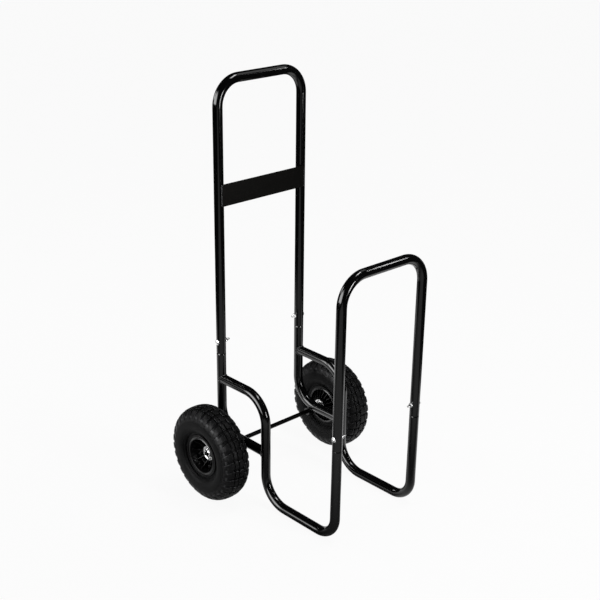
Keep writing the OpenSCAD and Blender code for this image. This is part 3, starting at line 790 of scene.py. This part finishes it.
class LOGCART_OT_frame_tubes(PieceOperator):
    """Finishes the tubes and the other pieces that keep their CAD shape"""

    bl_idname = "log_cart.frame_tubes"
    bl_label = "Frame tubes"

    def build(self, cart):
        for finish, nodes in CAD_FINISHES.items():
            for name in nodes.split():
                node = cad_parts[name]
                node.data.materials.clear()
                node.data.materials.append(FINISHES[finish])


class LOGCART_OT_cross_plate(PieceOperator):
    """Builds the cross plate with rounded corners and softened edges"""

    bl_idname = "log_cart.cross_plate"
    bl_label = "Cross plate"

    def build(self, cart):
        plate = begin(
            "cross_plate_sheet",
            bpy.ops.mesh.primitive_cube_add,
            size=1.0,
            location=middle("cross_plate"),
            scale=size("cross_plate"),
        )
        pick("edges", lambda e: abs(e.verts[0].co.x - e.verts[1].co.x) > MM)
        bevel(cart.plate.corner, 6)
        pick("edges", is_sharp)
        bevel(cart.plate.edge)
        heal()
        done(plate, "plate", "frame", "plate_paint", "cross_plate")


# ---------------------------------------------------------------- welds


def bead_along(name, path, weld, closed=True):
    """A rippled bead: one ripple is modelled, repeated in a row and bent along the path."""
    ends = path + path[:1] if closed else path
    run = sum((b - a).length for a, b in zip(ends, ends[1:]))
    ripples = max(4, round(run / weld.ripple))
    pitch = run / ripples
    stations = [(0.0, 0.82), (0.18, 0.94), (0.5, 1.0), (0.82, 0.94), (1.0, 0.82)]
    bead = begin(
        name,
        bpy.ops.mesh.primitive_circle_add,
        vertices=10,
        radius=weld.bead * stations[0][1],
        rotation=(0, math.pi / 2, 0),
    )
    for (here, narrow), (there, wide) in zip(stations, stations[1:]):
        push(FORE * pitch * (there - here))
        stretch(1, wide / narrow, wide / narrow, FORE * pitch * there)
    line = draw(name + "_path", ends)
    if closed:
        heal()
    choose(line)
    bpy.ops.object.convert(target="CURVE")
    line = bpy.context.object
    apply(
        bead,
        "ARRAY",
        count=ripples,
        use_relative_offset=False,
        use_constant_offset=True,
        constant_offset_displace=(pitch, 0, 0),
        use_merge_vertices=True,
        merge_threshold=0.01 * MM,
    )
    apply(bead, "CURVE", object=line, deform_axis="POS_X")
    bpy.data.objects.remove(line)
    reopen(bead)
    if closed:
        select_all()
        bpy.ops.mesh.remove_doubles(threshold=0.25 * MM)
    else:
        pick("edges", lambda e: e.is_boundary)
        bpy.ops.mesh.edge_face_add()
    heal()
    return bead


def saddle(x, z, way, steps=48):
    """The line where a coped tube along X meets an upright tube of the left side, just off their skin."""
    radius = SKIN_R + 0.2 * MM
    angles = [TURN * (i + 0.5) / steps for i in range(steps)]
    return [
        vec(x, SIDE_Y, z) + radius * vec(way * abs(math.cos(a)), math.sin(a), math.cos(a)) for a in angles
    ]


def sleeve_ring(steps=36):
    """The ring round the spot where the post's bend rests on the axle sleeve."""
    sleeve, sleeve_r = middle("left_axle_sleeve"), size("left_axle_sleeve").z / 2
    bend_centre = vec(POST_X + BEND_R, SIDE_Y, LOWER_RAIL_Z + BEND_R)
    down = vec(sleeve.x - bend_centre.x, 0, sleeve.z - bend_centre.z).normalized()
    along = vec(-down.z, 0, down.x)
    bend_r, half_long, half_wide = BEND_R + SKIN_R, 7.0 * MM, 8.1 * MM
    points = []
    for i in range(steps):
        angle = TURN * i / steps
        u, v = half_long * math.cos(angle), half_wide * math.sin(angle)
        rise = (u * u / (2 * sleeve_r) - u * u / (2 * bend_r) - v * v / (2 * SKIN_R)) / 2
        points.append(bend_centre + down * (bend_r + rise) + along * u + OUT * v)
    return points


class LOGCART_OT_weld_beads(PieceOperator):
    """Builds the rippled weld beads"""

    bl_idname = "log_cart.weld_beads"
    bl_label = "Weld beads"

    def build(self, cart):
        inset = vec(0, 0, cart.plate.corner * 0.6)
        plate_foot = vec(PLATE_LOW.x + 0.3 * MM, SIDE_Y + 0.3 * MM, PLATE_LOW.z)
        plate_end = [plate_foot + inset, plate_foot + UP * size("cross_plate").z - inset]
        beads = [
            bead_along("upper_rail_bead", saddle(POST_X, UPPER_RAIL_Z, 1), cart.weld),
            bead_along("lower_rail_bead", saddle(RISER_X, LOWER_RAIL_Z, -1), cart.weld),
            bead_along("plate_bead", plate_end, cart.weld, closed=False),
            bead_along("sleeve_bead", sleeve_ring(), cart.weld),
        ]
        on_frame(joined("left_beads", beads), "weld_runs", "weld", "frame_paint", "weld_beads", smooth=60)


# ---------------------------------------------------------------- fasteners


def mushroom_bolt(name, seat, bolt):
    """A round-headed bolt whose head sits on a tube, with its thread standing out at the far side."""
    edge = 0.35 * MM
    dome_h = BOLT_HEAD_H - edge
    dome_r = (BOLT_HEAD_R**2 + dome_h**2) / (2 * dome_h)
    half = math.degrees(math.asin(BOLT_HEAD_R / dome_r))
    thread_from, end = 1 * MM - 2 * TUBE_R, -2 * TUBE_R - BOLT_TAIL
    outline = arc(0.0, BOLT_HEAD_H - dome_r, dome_r, 90, 90 - half, 8)
    outline += [(BOLT_HEAD_R, edge * 0.6), (BOLT_HEAD_R - edge * 0.5, 0.0)]
    outline += [(BOLT_R, 0.0), (BOLT_R, thread_from)]
    outline += thread_outline(thread_from, end + 0.8 * MM, BOLT_R, bolt.thread, bolt.pitch)
    outline += [(BOLT_R - 0.9 * MM, end), (0.0, end)]
    return turned(name, outline, 32, seat)


class LOGCART_OT_joint_bolts(PieceOperator):
    """Builds the bolts and nuts that pin the handle and the front hoop to the side frames"""

    bl_idname = "log_cart.joint_bolts"
    bl_label = "Joint bolts"

    def build(self, cart):
        for joint in ("handle", "front"):
            place = middle(f"{joint}_joint_bolts")
            seat = vec(place.x, SIDE_Y + TUBE_R, place.z)
            bolt = mushroom_bolt(f"{joint}_bolt", seat, cart.bolt)
            on_frame(bolt, f"{joint}_mushroom_bolts", "zinc", "zinc", f"{joint}_joint_bolts")
            nut_place = seat - OUT * (2 * TUBE_R + NUT_H / 2)
            nut = hexagon(f"{joint}_nut", nut_place, 30, NUT_FLATS, NUT_H)
            on_frame(nut, f"{joint}_hex_nuts", "zinc", "zinc", f"{joint}_joint_nuts")


# ---------------------------------------------------------------- wheels


def ellipse_point(half_w, height, angle, power):
    """A point at an angle in degrees from the crown, which may lie on either side of it."""
    across, up = math.sin(math.radians(abs(angle))), max(0.0, math.cos(math.radians(angle)))
    return WAIST_R + height * up ** (2 / power), math.copysign(half_w * across ** (2 / power), angle)


def casing_outline(inset, lug_height, crown_steps, wall_steps):
    """Half of the casing's section, from the crown down to the sidewall's end."""
    half_w = TYRE_HALF_W - inset
    crown = TREAD_RISE - lug_height - inset
    fall = WAIST_R - BEAD_R - SIDEWALL_CLEAR - inset
    points = [
        ellipse_point(half_w, crown, 90 * i / crown_steps, CASING_POWER) for i in range(crown_steps + 1)
    ]
    for i in range(1, wall_steps + 1):
        points.append(ellipse_point(half_w, -fall, 90 - (90 - SIDEWALL_END) * i / wall_steps, CASING_POWER))
    return points


def angle_at(distance):
    """The angle round the tread's outline at a distance from the tyre's middle plane."""
    return math.degrees(math.asin((distance / TYRE_HALF_W) ** (TREAD_POWER / 2)))


def angle_down_to(radius):
    """The angle round the tread's outline at a radius."""
    return math.degrees(math.acos(((radius - WAIST_R) / TREAD_RISE) ** (TREAD_POWER / 2)))


def on_tread(vertex):
    """Whether a vertex of the left tyre lies on the tread's outline."""
    place = vertex.co - WHEEL
    rise = max(0.0, math.hypot(place.x, place.z) - WAIST_R)
    level = (rise / TREAD_RISE) ** TREAD_POWER + (abs(place.y) / TYRE_HALF_W) ** TREAD_POWER
    return abs(level - 1) < 0.03


def ridge(points, at, rise):
    """Raises a thin moulded ring on the casing's outline, where it passes a radius."""
    raised = []
    for (r0, s0), (r1, s1) in zip(points, points[1:]):
        raised.append((r0, s0))
        if (r0 - at) * (r1 - at) < 0:
            start, run = vec(r0, s0), vec(r1 - r0, s1 - s0)
            here, way = start + run * (at - r0) / run.x, run.normalized()
            out = vec(math.copysign(way.y, -way.x * way.y), abs(way.x))
            for step, height in ((-0.5, 0.0), (-0.25, rise), (0.25, rise), (0.5, 0.0)):
                raised.append(tuple(here + way * RING_W * step + out * height))
    return raised + points[-1:]


def lug(name, start, end, steps, taper, tyre):
    """One lug at the top of the left tyre: a patch of the tread, narrowed, thickened, drafted and edged."""
    angle = tyre.lug_length / TYRE_R
    turn = Matrix.Rotation(-angle / 2, 3, "Y")
    points = []
    for i in range(steps + 1):
        r, s = ellipse_point(TYRE_HALF_W, TREAD_RISE, start + (end - start) * i / steps, TREAD_POWER)
        points.append(WHEEL + turn @ vec(0, s, r))
    piece = draw(name, points)
    spin(WHEEL, 4, angle)
    heal()
    for i, point in enumerate(points):
        pick("verts", lambda v: abs(v.co.y - point.y) < 0.02 * MM)
        stretch(1 - taper * (i / steps) ** 1.2, 1, 1, WHEEL)
    pick("verts", lambda v: len(v.link_faces) == 1)
    bevel(tyre.lug_corner, 3, "VERTICES")
    face_outwards()
    if sum(face.normal.z for face in bmesh.from_edit_mesh(piece.data).faces) < 0:
        bpy.ops.mesh.flip_normals()
    bpy.ops.mesh.select_mode(type="FACE")
    select_all()
    root = tyre.lug_height + 0.8 * MM
    bpy.ops.mesh.extrude_region_shrink_fatten(TRANSFORM_OT_shrink_fatten={"value": -root})
    stretch(1.05, 1, 1, WHEEL)
    pick("faces", lambda f: all(on_tread(v) for v in f.verts))
    bpy.ops.mesh.region_to_loop()
    bevel(tyre.lug_edge)
    heal()
    return piece


class LOGCART_OT_tyres(PieceOperator):
    """Builds the tyres, with their lugs and sidewalls"""

    bl_idname = "log_cart.tyres"
    bl_label = "Tyres"

    def build(self, cart):
        tyre = cart.tyre
        pieces = [self.casing(tyre)]
        centre_end = angle_at(CENTRE_TO)
        middle_start, middle_end = angle_at(MIDDLE_FROM), angle_at(MIDDLE_TO)
        shoulder_start, shoulder_end = angle_at(SHOULDER_FROM), angle_down_to(TYRE_R - tyre.shoulder_reach)
        half_pitch = math.pi / tyre.lugs
        for name, start, end, steps, taper, turn in (
            ("centre_lugs", -centre_end, centre_end, 4, 0.0, half_pitch),
            ("outer_middle_lugs", middle_start, middle_end, 3, 0.0, half_pitch),
            ("outer_shoulder_lugs", shoulder_start, shoulder_end, 8, tyre.lug_taper, half_pitch),
            ("inner_middle_lugs", -middle_start, -middle_end, 3, 0.0, 0.0),
            ("inner_shoulder_lugs", -shoulder_start, -shoulder_end, 8, tyre.lug_taper, 0.0),
        ):
            pieces.append(lug(name, start, end, steps, taper, tyre))
            turn_round(turn)
            repeat_round(tyre.lugs)
        on_wheels(joined("tyre", pieces), "lugged_tyre", "rubber", "tyre_rubber", "tyre")

    def casing(self, tyre):
        """The turned casing, with two moulded rings on its sidewall, a rim guard and two beads."""
        outer = casing_outline(0.0, tyre.lug_height, 22, 12)
        for at, rise in RINGS:
            outer = ridge(outer, at, rise)
        end_r, end_s = outer.pop()
        toe_r = BEAD_R + 0.2 * MM
        outer += arc(end_r, end_s - 1 * MM, 2 * MM, 75, -105, 8)
        outer += [(FLANGE_R + 2 * MM, BEAD_FACE), (toe_r, BEAD_FACE), (toe_r, BEAD_FACE - 5 * MM)]
        half = outer + casing_outline(CASING_T, tyre.lug_height, 14, 6)[::-1]
        other = [(r, -s) for r, s in reversed(half)][1:-1]
        return turned("casing", half + other + half[:1], 144)


def rim_dish(name, web, way, hub, seat, fillet):
    """The turned body of one rim half: hub, web, barrel, rolled edge with its channel, and bead seat."""
    edge, lip = 0.7 * MM, WALL / 2

    def corner(r, s, radius, start, end):
        """A rounded corner about (r, s), drawn for the outer half and mirrored for the inner."""
        return [(r + a, s + way * b) for a, b in arc(0, 0, radius, start, end)]

    outline = [(THROUGH_R, SPLIT), (THROUGH_R, seat), (SEAT_R, seat)]
    outline += [(SEAT_R, hub - way * edge / 2), (SEAT_R + edge / 2, hub)]
    outline += corner(HUB_R - edge - 0.3 * MM, hub - way * edge, edge, 90, 0)
    outline += corner(HUB_R + fillet, web + way * fillet, fillet, 180, 270)
    outline += corner(BARREL_R - fillet - 0.8 * MM, web + way * fillet, fillet, 270, 360)
    outline += corner(BARREL_R + edge, way * (RIM_EDGE - edge), edge, 180, 60)
    outline += [(radius, way * (RIM_EDGE - depth)) for radius, depth in CHANNEL]
    outline += corner(FLANGE_R - lip, way * (RIM_EDGE - lip), lip, 120, -90)
    outline += [(BEAD_R + 0.6 * MM, way * (RIM_EDGE - WALL)), (BEAD_R, way * (RIM_EDGE - WALL - 0.6 * MM))]
    outline += [(BEAD_R, SPLIT), (BARREL_R, SPLIT)]
    if way > 0:
        outline += [(BARREL_R, web - WALL), (HUB_R, web - WALL), (HUB_R, SPLIT)]
    return turned(name + "_dish", outline + [(THROUGH_R, SPLIT)], 120)


def rim_ribs(name, web, way, hub, ribs):
    """The radial ribs between hub and barrel, spaced evenly to either side of each rim bolt."""
    foot, hub_top, barrel_top = web - way * WALL / 2, hub - way * 1 * MM, way * (RIM_EDGE - 6 * MM)
    start_r, end_r = HUB_R - 1 * MM, BARREL_R + WALL / 2
    ramp_from = start_r + 2 * MM
    spans = 8
    rib = begin(
        name + "_ribs",
        bpy.ops.mesh.primitive_cube_add,
        size=1.0,
        location=WHEEL + vec((start_r + end_r) / 2, (foot + hub_top) / 2, 0),
        scale=(end_r - start_r, abs(hub_top - foot), 2.2 * MM),
    )
    pick("edges", lambda e: abs(e.verts[0].co.x - e.verts[1].co.x) > 10 * MM)
    bpy.ops.mesh.subdivide(number_cuts=spans - 1)
    for i in range(spans + 1):
        top = WHEEL + vec(start_r + (end_r - start_r) * i / spans, hub_top, 0)
        pick("verts", lambda v: (v.co.xy - top.xy).length < 0.01 * MM)
        climb = max(0.0, (top.x - WHEEL.x - ramp_from) / (end_r - ramp_from))
        bpy.ops.transform.translate(value=OUT * (barrel_top - hub_top) * (0.72 * climb + 0.28 * climb**2.4))
        stretch(1, 1, 0.8, WHEEL)

    def along_top(edge):
        """Whether an edge is sharp, off the rib's foot and level."""
        one, two = (vertex.co - WHEEL for vertex in edge.verts)
        above = min((one.y - foot) * way, (two.y - foot) * way)
        return is_sharp(edge, 50) and above > 0.1 * MM and abs(one.z - two.z) < 0.1 * MM

    face_outwards()
    pick("edges", along_top)
    bevel(0.4 * MM)
    heal()
    turn_round(math.radians(FIRST_BOLT + 180 / ribs))
    repeat_round(ribs)
    return rib


def rim_bosses():
    """The round bosses under the bolt heads."""
    web, top, radius = OUTER_WEB, OUTER_WEB + BOSS_H, 6.5 * MM
    outline = [(0.0, web - 2 * MM), (radius + 0.8 * MM, web - 2 * MM), (radius + 0.8 * MM, web)]
    outline += [(radius + 0.25 * MM, web + 0.3 * MM), (radius, top - 0.5 * MM)]
    outline += [(radius - 0.15 * MM, top - 0.15 * MM), (radius - 0.5 * MM, top), (0.0, top)]
    return turned("bosses", outline, 28, RIM_BOLT, RIM_BOLTS)


class LOGCART_OT_rims(PieceOperator):
    """Builds the two halves of each ribbed rim"""

    bl_idname = "log_cart.rims"
    bl_label = "Rims"

    def build(self, cart):
        for half, web, way, hub, seat, ribs in (
            ("outer_half", OUTER_WEB, 1, 7.2 * MM, -2.2 * MM, 10),
            ("inner_half", INNER_WEB, -1, -43.4 * MM, -34 * MM, 20),
        ):
            dish = rim_dish(half, web, way, hub, seat, cart.rim.fillet)
            parts = [dish, rim_ribs(half, web, way, hub, ribs)]
            if way > 0:
                parts.append(rim_bosses())
            on_wheels(joined(half, parts), f"ribbed_rim_{half}", "plastic", "rim_plastic", f"rim_{half}")


class LOGCART_OT_rim_bolts(PieceOperator):
    """Builds the hex bolts and nuts that clamp the rim halves together"""

    bl_idname = "log_cart.rim_bolts"
    bl_label = "Rim bolts"

    def build(self, cart):
        seat, head_h, nut_h = OUTER_WEB + BOSS_H, 3.5 * MM, 4 * MM
        head = hexagon("rim_bolt_heads", RIM_BOLT + OUT * (seat + head_h / 2), 12, RIM_NUT_FLATS, head_h)
        pick("faces", lambda f: f.normal.y > 0.95 and f.calc_area() > 10 * MM * MM)
        bpy.ops.mesh.inset(thickness=0.9 * MM)
        push(OUT * -0.5 * MM)
        stretch(0.85, 1, 0.85, RIM_BOLT + OUT * (seat + head_h))
        repeat_round(RIM_BOLTS)
        tail = INNER_WEB - 5 * MM
        outline = [(0.0, seat + 0.5 * MM), (RIM_BOLT_R, seat + 0.5 * MM), (RIM_BOLT_R, INNER_WEB)]
        outline += thread_outline(INNER_WEB, tail + 0.5 * MM, RIM_BOLT_R, 0.35 * MM, 0.8 * MM)
        outline += [(RIM_BOLT_R - 0.7 * MM, tail), (0.0, tail)]
        shank = turned("rim_bolt_shanks", outline, 20, RIM_BOLT, RIM_BOLTS)
        on_wheels(joined("rim_bolt_set", [head, shank]), "hex_rim_bolts", "dull_steel", "zinc", "rim_bolts")
        nut = hexagon("rim_nut_set", RIM_BOLT + OUT * (INNER_WEB - nut_h / 2), 12, RIM_NUT_FLATS, nut_h)
        repeat_round(RIM_BOLTS)
        on_wheels(nut, "hex_rim_nuts", "dull_steel", "zinc", "rim_nuts")


class LOGCART_OT_bearings(PieceOperator):
    """Builds the pressed bearing shells and the push nuts on the axle's ends"""

    bl_idname = "log_cart.bearings"
    bl_label = "Bearings"

    def build(self, cart):
        self.shells()
        self.push_nuts()

    def shells(self):
        """A flanged shell, with a pressed ring dip in its face, for each end of each hub."""
        flange_r, shell_r, thick, depth, edge = 20 * MM, 17.5 * MM, 1.6 * MM, 11 * MM, 0.6 * MM
        dip_r, chamfer, steps = THROUGH_R + 1 * MM, 0.3 * MM, 8
        section = [(THROUGH_R, depth), (THROUGH_R, 1.2 * MM)]
        section += [(THROUGH_R + 0.4 * MM, 0.35 * MM), (dip_r, 0.0)]
        for i in range(1, steps + 1):
            section.append((dip_r + 3.9 * MM * i / steps, 0.45 * MM * (1 - math.cos(TURN * i / steps))))
        section += arc(flange_r - edge, edge, edge, -90, 0)
        section += [(flange_r, thick - chamfer), (flange_r - chamfer, thick), (shell_r + chamfer, thick)]
        section += [(shell_r, thick + chamfer), (shell_r, depth - edge)]
        section += [(shell_r - edge, depth), (THROUGH_R, depth)]
        for end, face, way in (("outer", 8.8 * MM, 1), ("inner", -45 * MM, -1)):
            shell = turned(f"{end}_shell", [(r, face - way * s) for r, s in section], 72)
            on_wheels(shell, f"{end}_bearing_shell", "pressed_zinc", "zinc", f"{end}_bearing", smooth=40)

    def push_nuts(self):
        """A pressed cap ring, whose spring teeth bite the axle, for each end of the axle."""
        foot, rim_r, sheet, edge, teeth = 9.3 * MM, 9.5 * MM, 1.2 * MM, 0.3 * MM, 8
        section = [(rim_r - sheet, foot), (rim_r - edge, foot), (rim_r, foot + edge), (rim_r, foot + sheet)]
        section += [(rim_r - 0.25 * MM, foot + 1.55 * MM), (8.2 * MM, foot + 2.1 * MM)]
        section += [(7.8 * MM, foot + 2.0 * MM), (rim_r - sheet, foot + 0.6 * MM), (rim_r - sheet, foot)]
        ring = turned("push_nut_ring", section, 64)
        line = [(8.4 * MM, foot + 1.55 * MM), (7.4 * MM, foot + 2.45 * MM), (6.1 * MM, foot + 2.9 * MM)]
        tooth = turned("push_nut_teeth", line, 5, angle=TURN / teeth * 0.74)
        apply(tooth, "SOLIDIFY", thickness=0.6 * MM, offset=0.0)
        reopen(tooth)
        repeat_round(teeth)
        heal()
        on_frame(joined("push_nut", [ring, tooth]), "spring_push_nuts", "pressed_zinc", "zinc", "push_nuts")


class LOGCART_OT_valves(PieceOperator):
    """Builds the bent valve stems and their fluted caps"""

    bl_idname = "log_cart.valves"
    bl_label = "Valves"

    def build(self, cart):
        inward = -spoke(FIRST_BOLT - 180 / RIM_BOLTS)
        stem_r, elbow_r, cap_h, sides = 4 * MM, 5 * MM, 10 * MM, 48
        foot = WHEEL + OUT * 14 * MM - inward * 50.7 * MM
        corner = foot + inward * 5.2 * MM
        neck = corner + inward * elbow_r + OUT * (elbow_r + 2 * MM)
        stem = begin(
            "valve_stem",
            bpy.ops.mesh.primitive_circle_add,
            vertices=24,
            radius=stem_r,
            fill_type="NGON",
            location=foot,
            rotation=inward.to_track_quat("Z", "Y").to_euler(),
        )
        push(corner - foot)
        bpy.ops.mesh.spin(steps=10, angle=math.pi / 2, center=corner + OUT * elbow_r, axis=OUT.cross(inward))
        push(OUT * 1.6 * MM)
        push(OUT * 0.4 * MM)
        stretch(0.6, 1, 0.6, neck)
        push(OUT * 8 * MM)
        heal()
        on_wheels(stem, "bent_valve_stem", "tube_rubber", "tube_rubber", "valve_stem")
        cap = begin(
            "valve_cap",
            bpy.ops.mesh.primitive_cylinder_add,
            vertices=sides,
            radius=stem_r,
            depth=cap_h,
            location=neck + OUT * cap_h / 2,
            rotation=(math.pi / 2, 0, 0),
        )

        def in_flute(vertex):
            """Whether a vertex is one of the two in every four that lie in a flute."""
            way = math.atan2(vertex.co.z - neck.z, vertex.co.x - neck.x)
            return round(way / TURN * sides) % 4 in (1, 2)

        pick("verts", in_flute)
        stretch(0.9, 1, 0.9, neck)
        pick("faces", lambda f: abs(f.normal.y) > 0.9)
        bpy.ops.mesh.inset(thickness=0.5 * MM, use_individual=True)
        pick("edges", lambda e: is_sharp(e, 70))
        bevel(0.35 * MM)
        heal()
        on_wheels(cap, "fluted_valve_cap", "plastic", "rim_plastic", "valve_cap")


# ---------------------------------------------------------------- studio


# The camera as it was fitted to the photograph, with its turns in radians
CAMERA_PLACE = (2.048480, -1.956017, 1.686034)
CAMERA_YAW, CAMERA_PITCH, CAMERA_ROLL = (math.radians(turn) for turn in (46.81, 21.9, 0.614))
CAMERA_LENS = 71.366
# The level directions that the camera looks along and that lies to its right
AHEAD = vec(-math.sin(CAMERA_YAW), math.cos(CAMERA_YAW), 0)
RIGHT = vec(math.cos(CAMERA_YAW), math.sin(CAMERA_YAW), 0)
# The share of the floor's look that is its own white, the rest being the light that falls on it
FLOOR_GLOW = 0.93
# The direction of the pale part of the room that the near hub and the bolt heads show in their gloss
SIDE = (-0.2, -0.972, 0.12)


class LOGCART_OT_studio(PieceOperator):
    """Builds the floor, the lamps, the world and the camera"""

    bl_idname = "log_cart.studio"
    bl_label = "Studio"

    def build(self, cart):
        self.floor(cart.studio)
        self.world(cart.studio)
        self.lamps(cart.studio)
        self.camera()

    def floor(self, studio):
        """A white floor that keeps the shadow. Gloss sees a white sweep behind the cart, less before it and a
        painted shadow along the rails.
        """
        to_objects()
        bpy.ops.mesh.primitive_plane_add(size=80.0)
        floor = bpy.context.object
        floor.name = "studio_floor"
        finish = Finish("pale_floor", Roughness=0.9)
        finish.give(Base_Color=finish.shades(finish.noise(3.0, 3.0), studio.floor_colour, 0.985, 1.0))
        shaded = Value(finish, finish.shader.outputs[0])
        lit = finish.blend(finish.seen() * FLOOR_GLOW, shaded, finish.light(1.0))
        back, aside = finish.along(AHEAD), abs(finish.along(RIGHT))
        forward, leftward = finish.along(FORE), finish.along(OUT)
        # Painted shadow: the floor, as gloss shows it, is dimmed in a band along the side rails
        off_rail = abs(abs(leftward) - middle("left_side_rail").y)
        painted_rail_shadow = (1 - off_rail.ramp(0.03, 0.06)) * forward.band(-0.08, -0.03, 0.19, 0.23)
        sweep = back.band(-0.3, 0.05, 0.7, 1.05) * (1 - aside.ramp(1.0, 1.5))
        sweep *= 1 - leftward.ramp(0.74, 0.9)
        front = (0 - back).ramp(0.1, 0.7) * (1 - aside.ramp(0.65, 1.05))
        shown = (sweep * studio.sweep + front * studio.front) * (1 - painted_rail_shadow * 0.85) + studio.gloom
        glossy = finish.blend(finish.ray("Glossy"), lit, finish.light(shown))
        finish.tree.links.new(glossy.socket, finish.tree.nodes["Material Output"].inputs["Surface"])
        floor.data.materials.append(finish.material)

    def world(self, studio):
        """White to the camera. Gloss sees a pale wall to the cart's right and a dim room elsewhere."""
        world = bpy.data.worlds.new("white_studio")
        bpy.context.scene.world = world
        world.use_nodes = True
        world.node_tree.nodes.clear()
        graph = Graph(world.node_tree, "Generated")
        seen, glossy = graph.seen(), graph.ray("Glossy")
        gloss = graph.along(SIDE).ramp(0.82, 0.95) * studio.side + studio.gloom
        strength = seen + (1 - seen) * (glossy * gloss + (1 - glossy) * studio.surround)
        light = graph.node("ShaderNodeBackground", {}, {"Color": (1, 1, 1, 1), "Strength": strength})
        output = graph.tree.nodes.new("ShaderNodeOutputWorld")
        graph.tree.links.new(light.socket, output.inputs["Surface"])

    def lamps(self, studio):
        """The lamps, each with its place, target, size, roll in degrees and power."""
        strip = studio.strip_power
        for name, place, target, extent, roll, energy in (
            ("overhead_lamp", (0.58, 0.56, 3.06), (0.0, 0.0, 0.5), (0.9, 0.5), 0.0, studio.key_power),
            ("ceiling_panel", (0.06, 0.6, 1.8), (0.06, 0.6001, 0.0), (0.6, 0.5), 0.0, studio.panel_power),
            ("left_strip", (-2.3, -1.15, 1.6), (0.0, 0.0, 0.3), (0.4, 0.8), 0.0, strip * 0.6),
            ("right_strip", (2.0, 2.8, 3.0), (0.25, 0.0, 0.7), (1.2, 0.1), 54.0, strip * 0.6),
            ("front_strip", (2.4, 0.4, 0.9), (-0.19, 0.0, 0.9), (0.3, 0.8), 0.0, strip * 1.25),
        ):
            to_objects()
            bpy.ops.object.light_add(type="AREA", location=place)
            lamp = bpy.context.object
            lamp.name = name
            lamp.data.shape = "RECTANGLE"
            lamp.data.size, lamp.data.size_y = extent
            lamp.data.energy = energy
            aim = (Vector(target) - Vector(place)).to_track_quat("-Z", "Y").to_matrix()
            lamp.rotation_euler = (aim @ Matrix.Rotation(math.radians(roll), 3, "Z")).to_euler()

    def camera(self):
        """The photograph's camera."""
        to_objects()
        bpy.ops.object.camera_add()
        camera = bpy.context.object
        camera.name = "photograph_camera"
        ahead = AHEAD * math.cos(CAMERA_PITCH) - UP * math.sin(CAMERA_PITCH)
        up = RIGHT.cross(ahead)
        level = RIGHT * math.cos(CAMERA_ROLL) + up * math.sin(CAMERA_ROLL)
        upright = up * math.cos(CAMERA_ROLL) - RIGHT * math.sin(CAMERA_ROLL)
        turn = Matrix((level, upright, -ahead)).transposed().to_4x4()
        camera.matrix_world = Matrix.Translation(CAMERA_PLACE) @ turn
        camera.data.lens = CAMERA_LENS
        camera.data.sensor_width = 36.0
        camera.data.clip_end = 200.0
        bpy.context.scene.camera = camera
        bpy.context.scene.view_settings.view_transform = "Standard"


# ---------------------------------------------------------------- add-on


OPERATORS = (
    LOGCART_OT_finishes,
    LOGCART_OT_frame_tubes,
    LOGCART_OT_cross_plate,
    LOGCART_OT_weld_beads,
    LOGCART_OT_joint_bolts,
    LOGCART_OT_tyres,
    LOGCART_OT_rims,
    LOGCART_OT_rim_bolts,
    LOGCART_OT_bearings,
    LOGCART_OT_valves,
    LOGCART_OT_studio,
)


class LOGCART_PT_pieces(bpy.types.Panel):
    """Lists the cart's settings and the operators that build it"""

    bl_idname = "LOGCART_PT_pieces"
    bl_label = "Log Cart"
    bl_space_type = "VIEW_3D"
    bl_region_type = "UI"
    bl_category = "Log Cart"

    def draw(self, context):
        cart = context.scene.log_cart
        for group in ("paint", "plate", "weld", "bolt", "tyre", "rim", "studio"):
            box = self.layout.box()
            box.label(text=group.title())
            values = getattr(cart, group)
            for name in values.bl_rna.properties.keys():
                if name not in ("rna_type", "name"):
                    box.prop(values, name)
        for operator in OPERATORS:
            self.layout.operator(operator.bl_idname)


CLASSES = (
    PaintSettings,
    PlateSettings,
    WeldSettings,
    BoltSettings,
    TyreSettings,
    RimSettings,
    StudioSettings,
    CartSettings,
    *OPERATORS,
    LOGCART_PT_pieces,
)


def register():
    for each in CLASSES:
        bpy.utils.register_class(each)
    bpy.types.Scene.log_cart = bpy.props.PointerProperty(type=CartSettings)


def unregister():
    del bpy.types.Scene.log_cart
    for each in reversed(CLASSES):
        bpy.utils.unregister_class(each)


def main():
    register()
    for operator in OPERATORS:
        group, name = operator.bl_idname.split(".")
        getattr(getattr(bpy.ops, group), name)()
    to_objects()


if __name__ == "__main__":
    main()
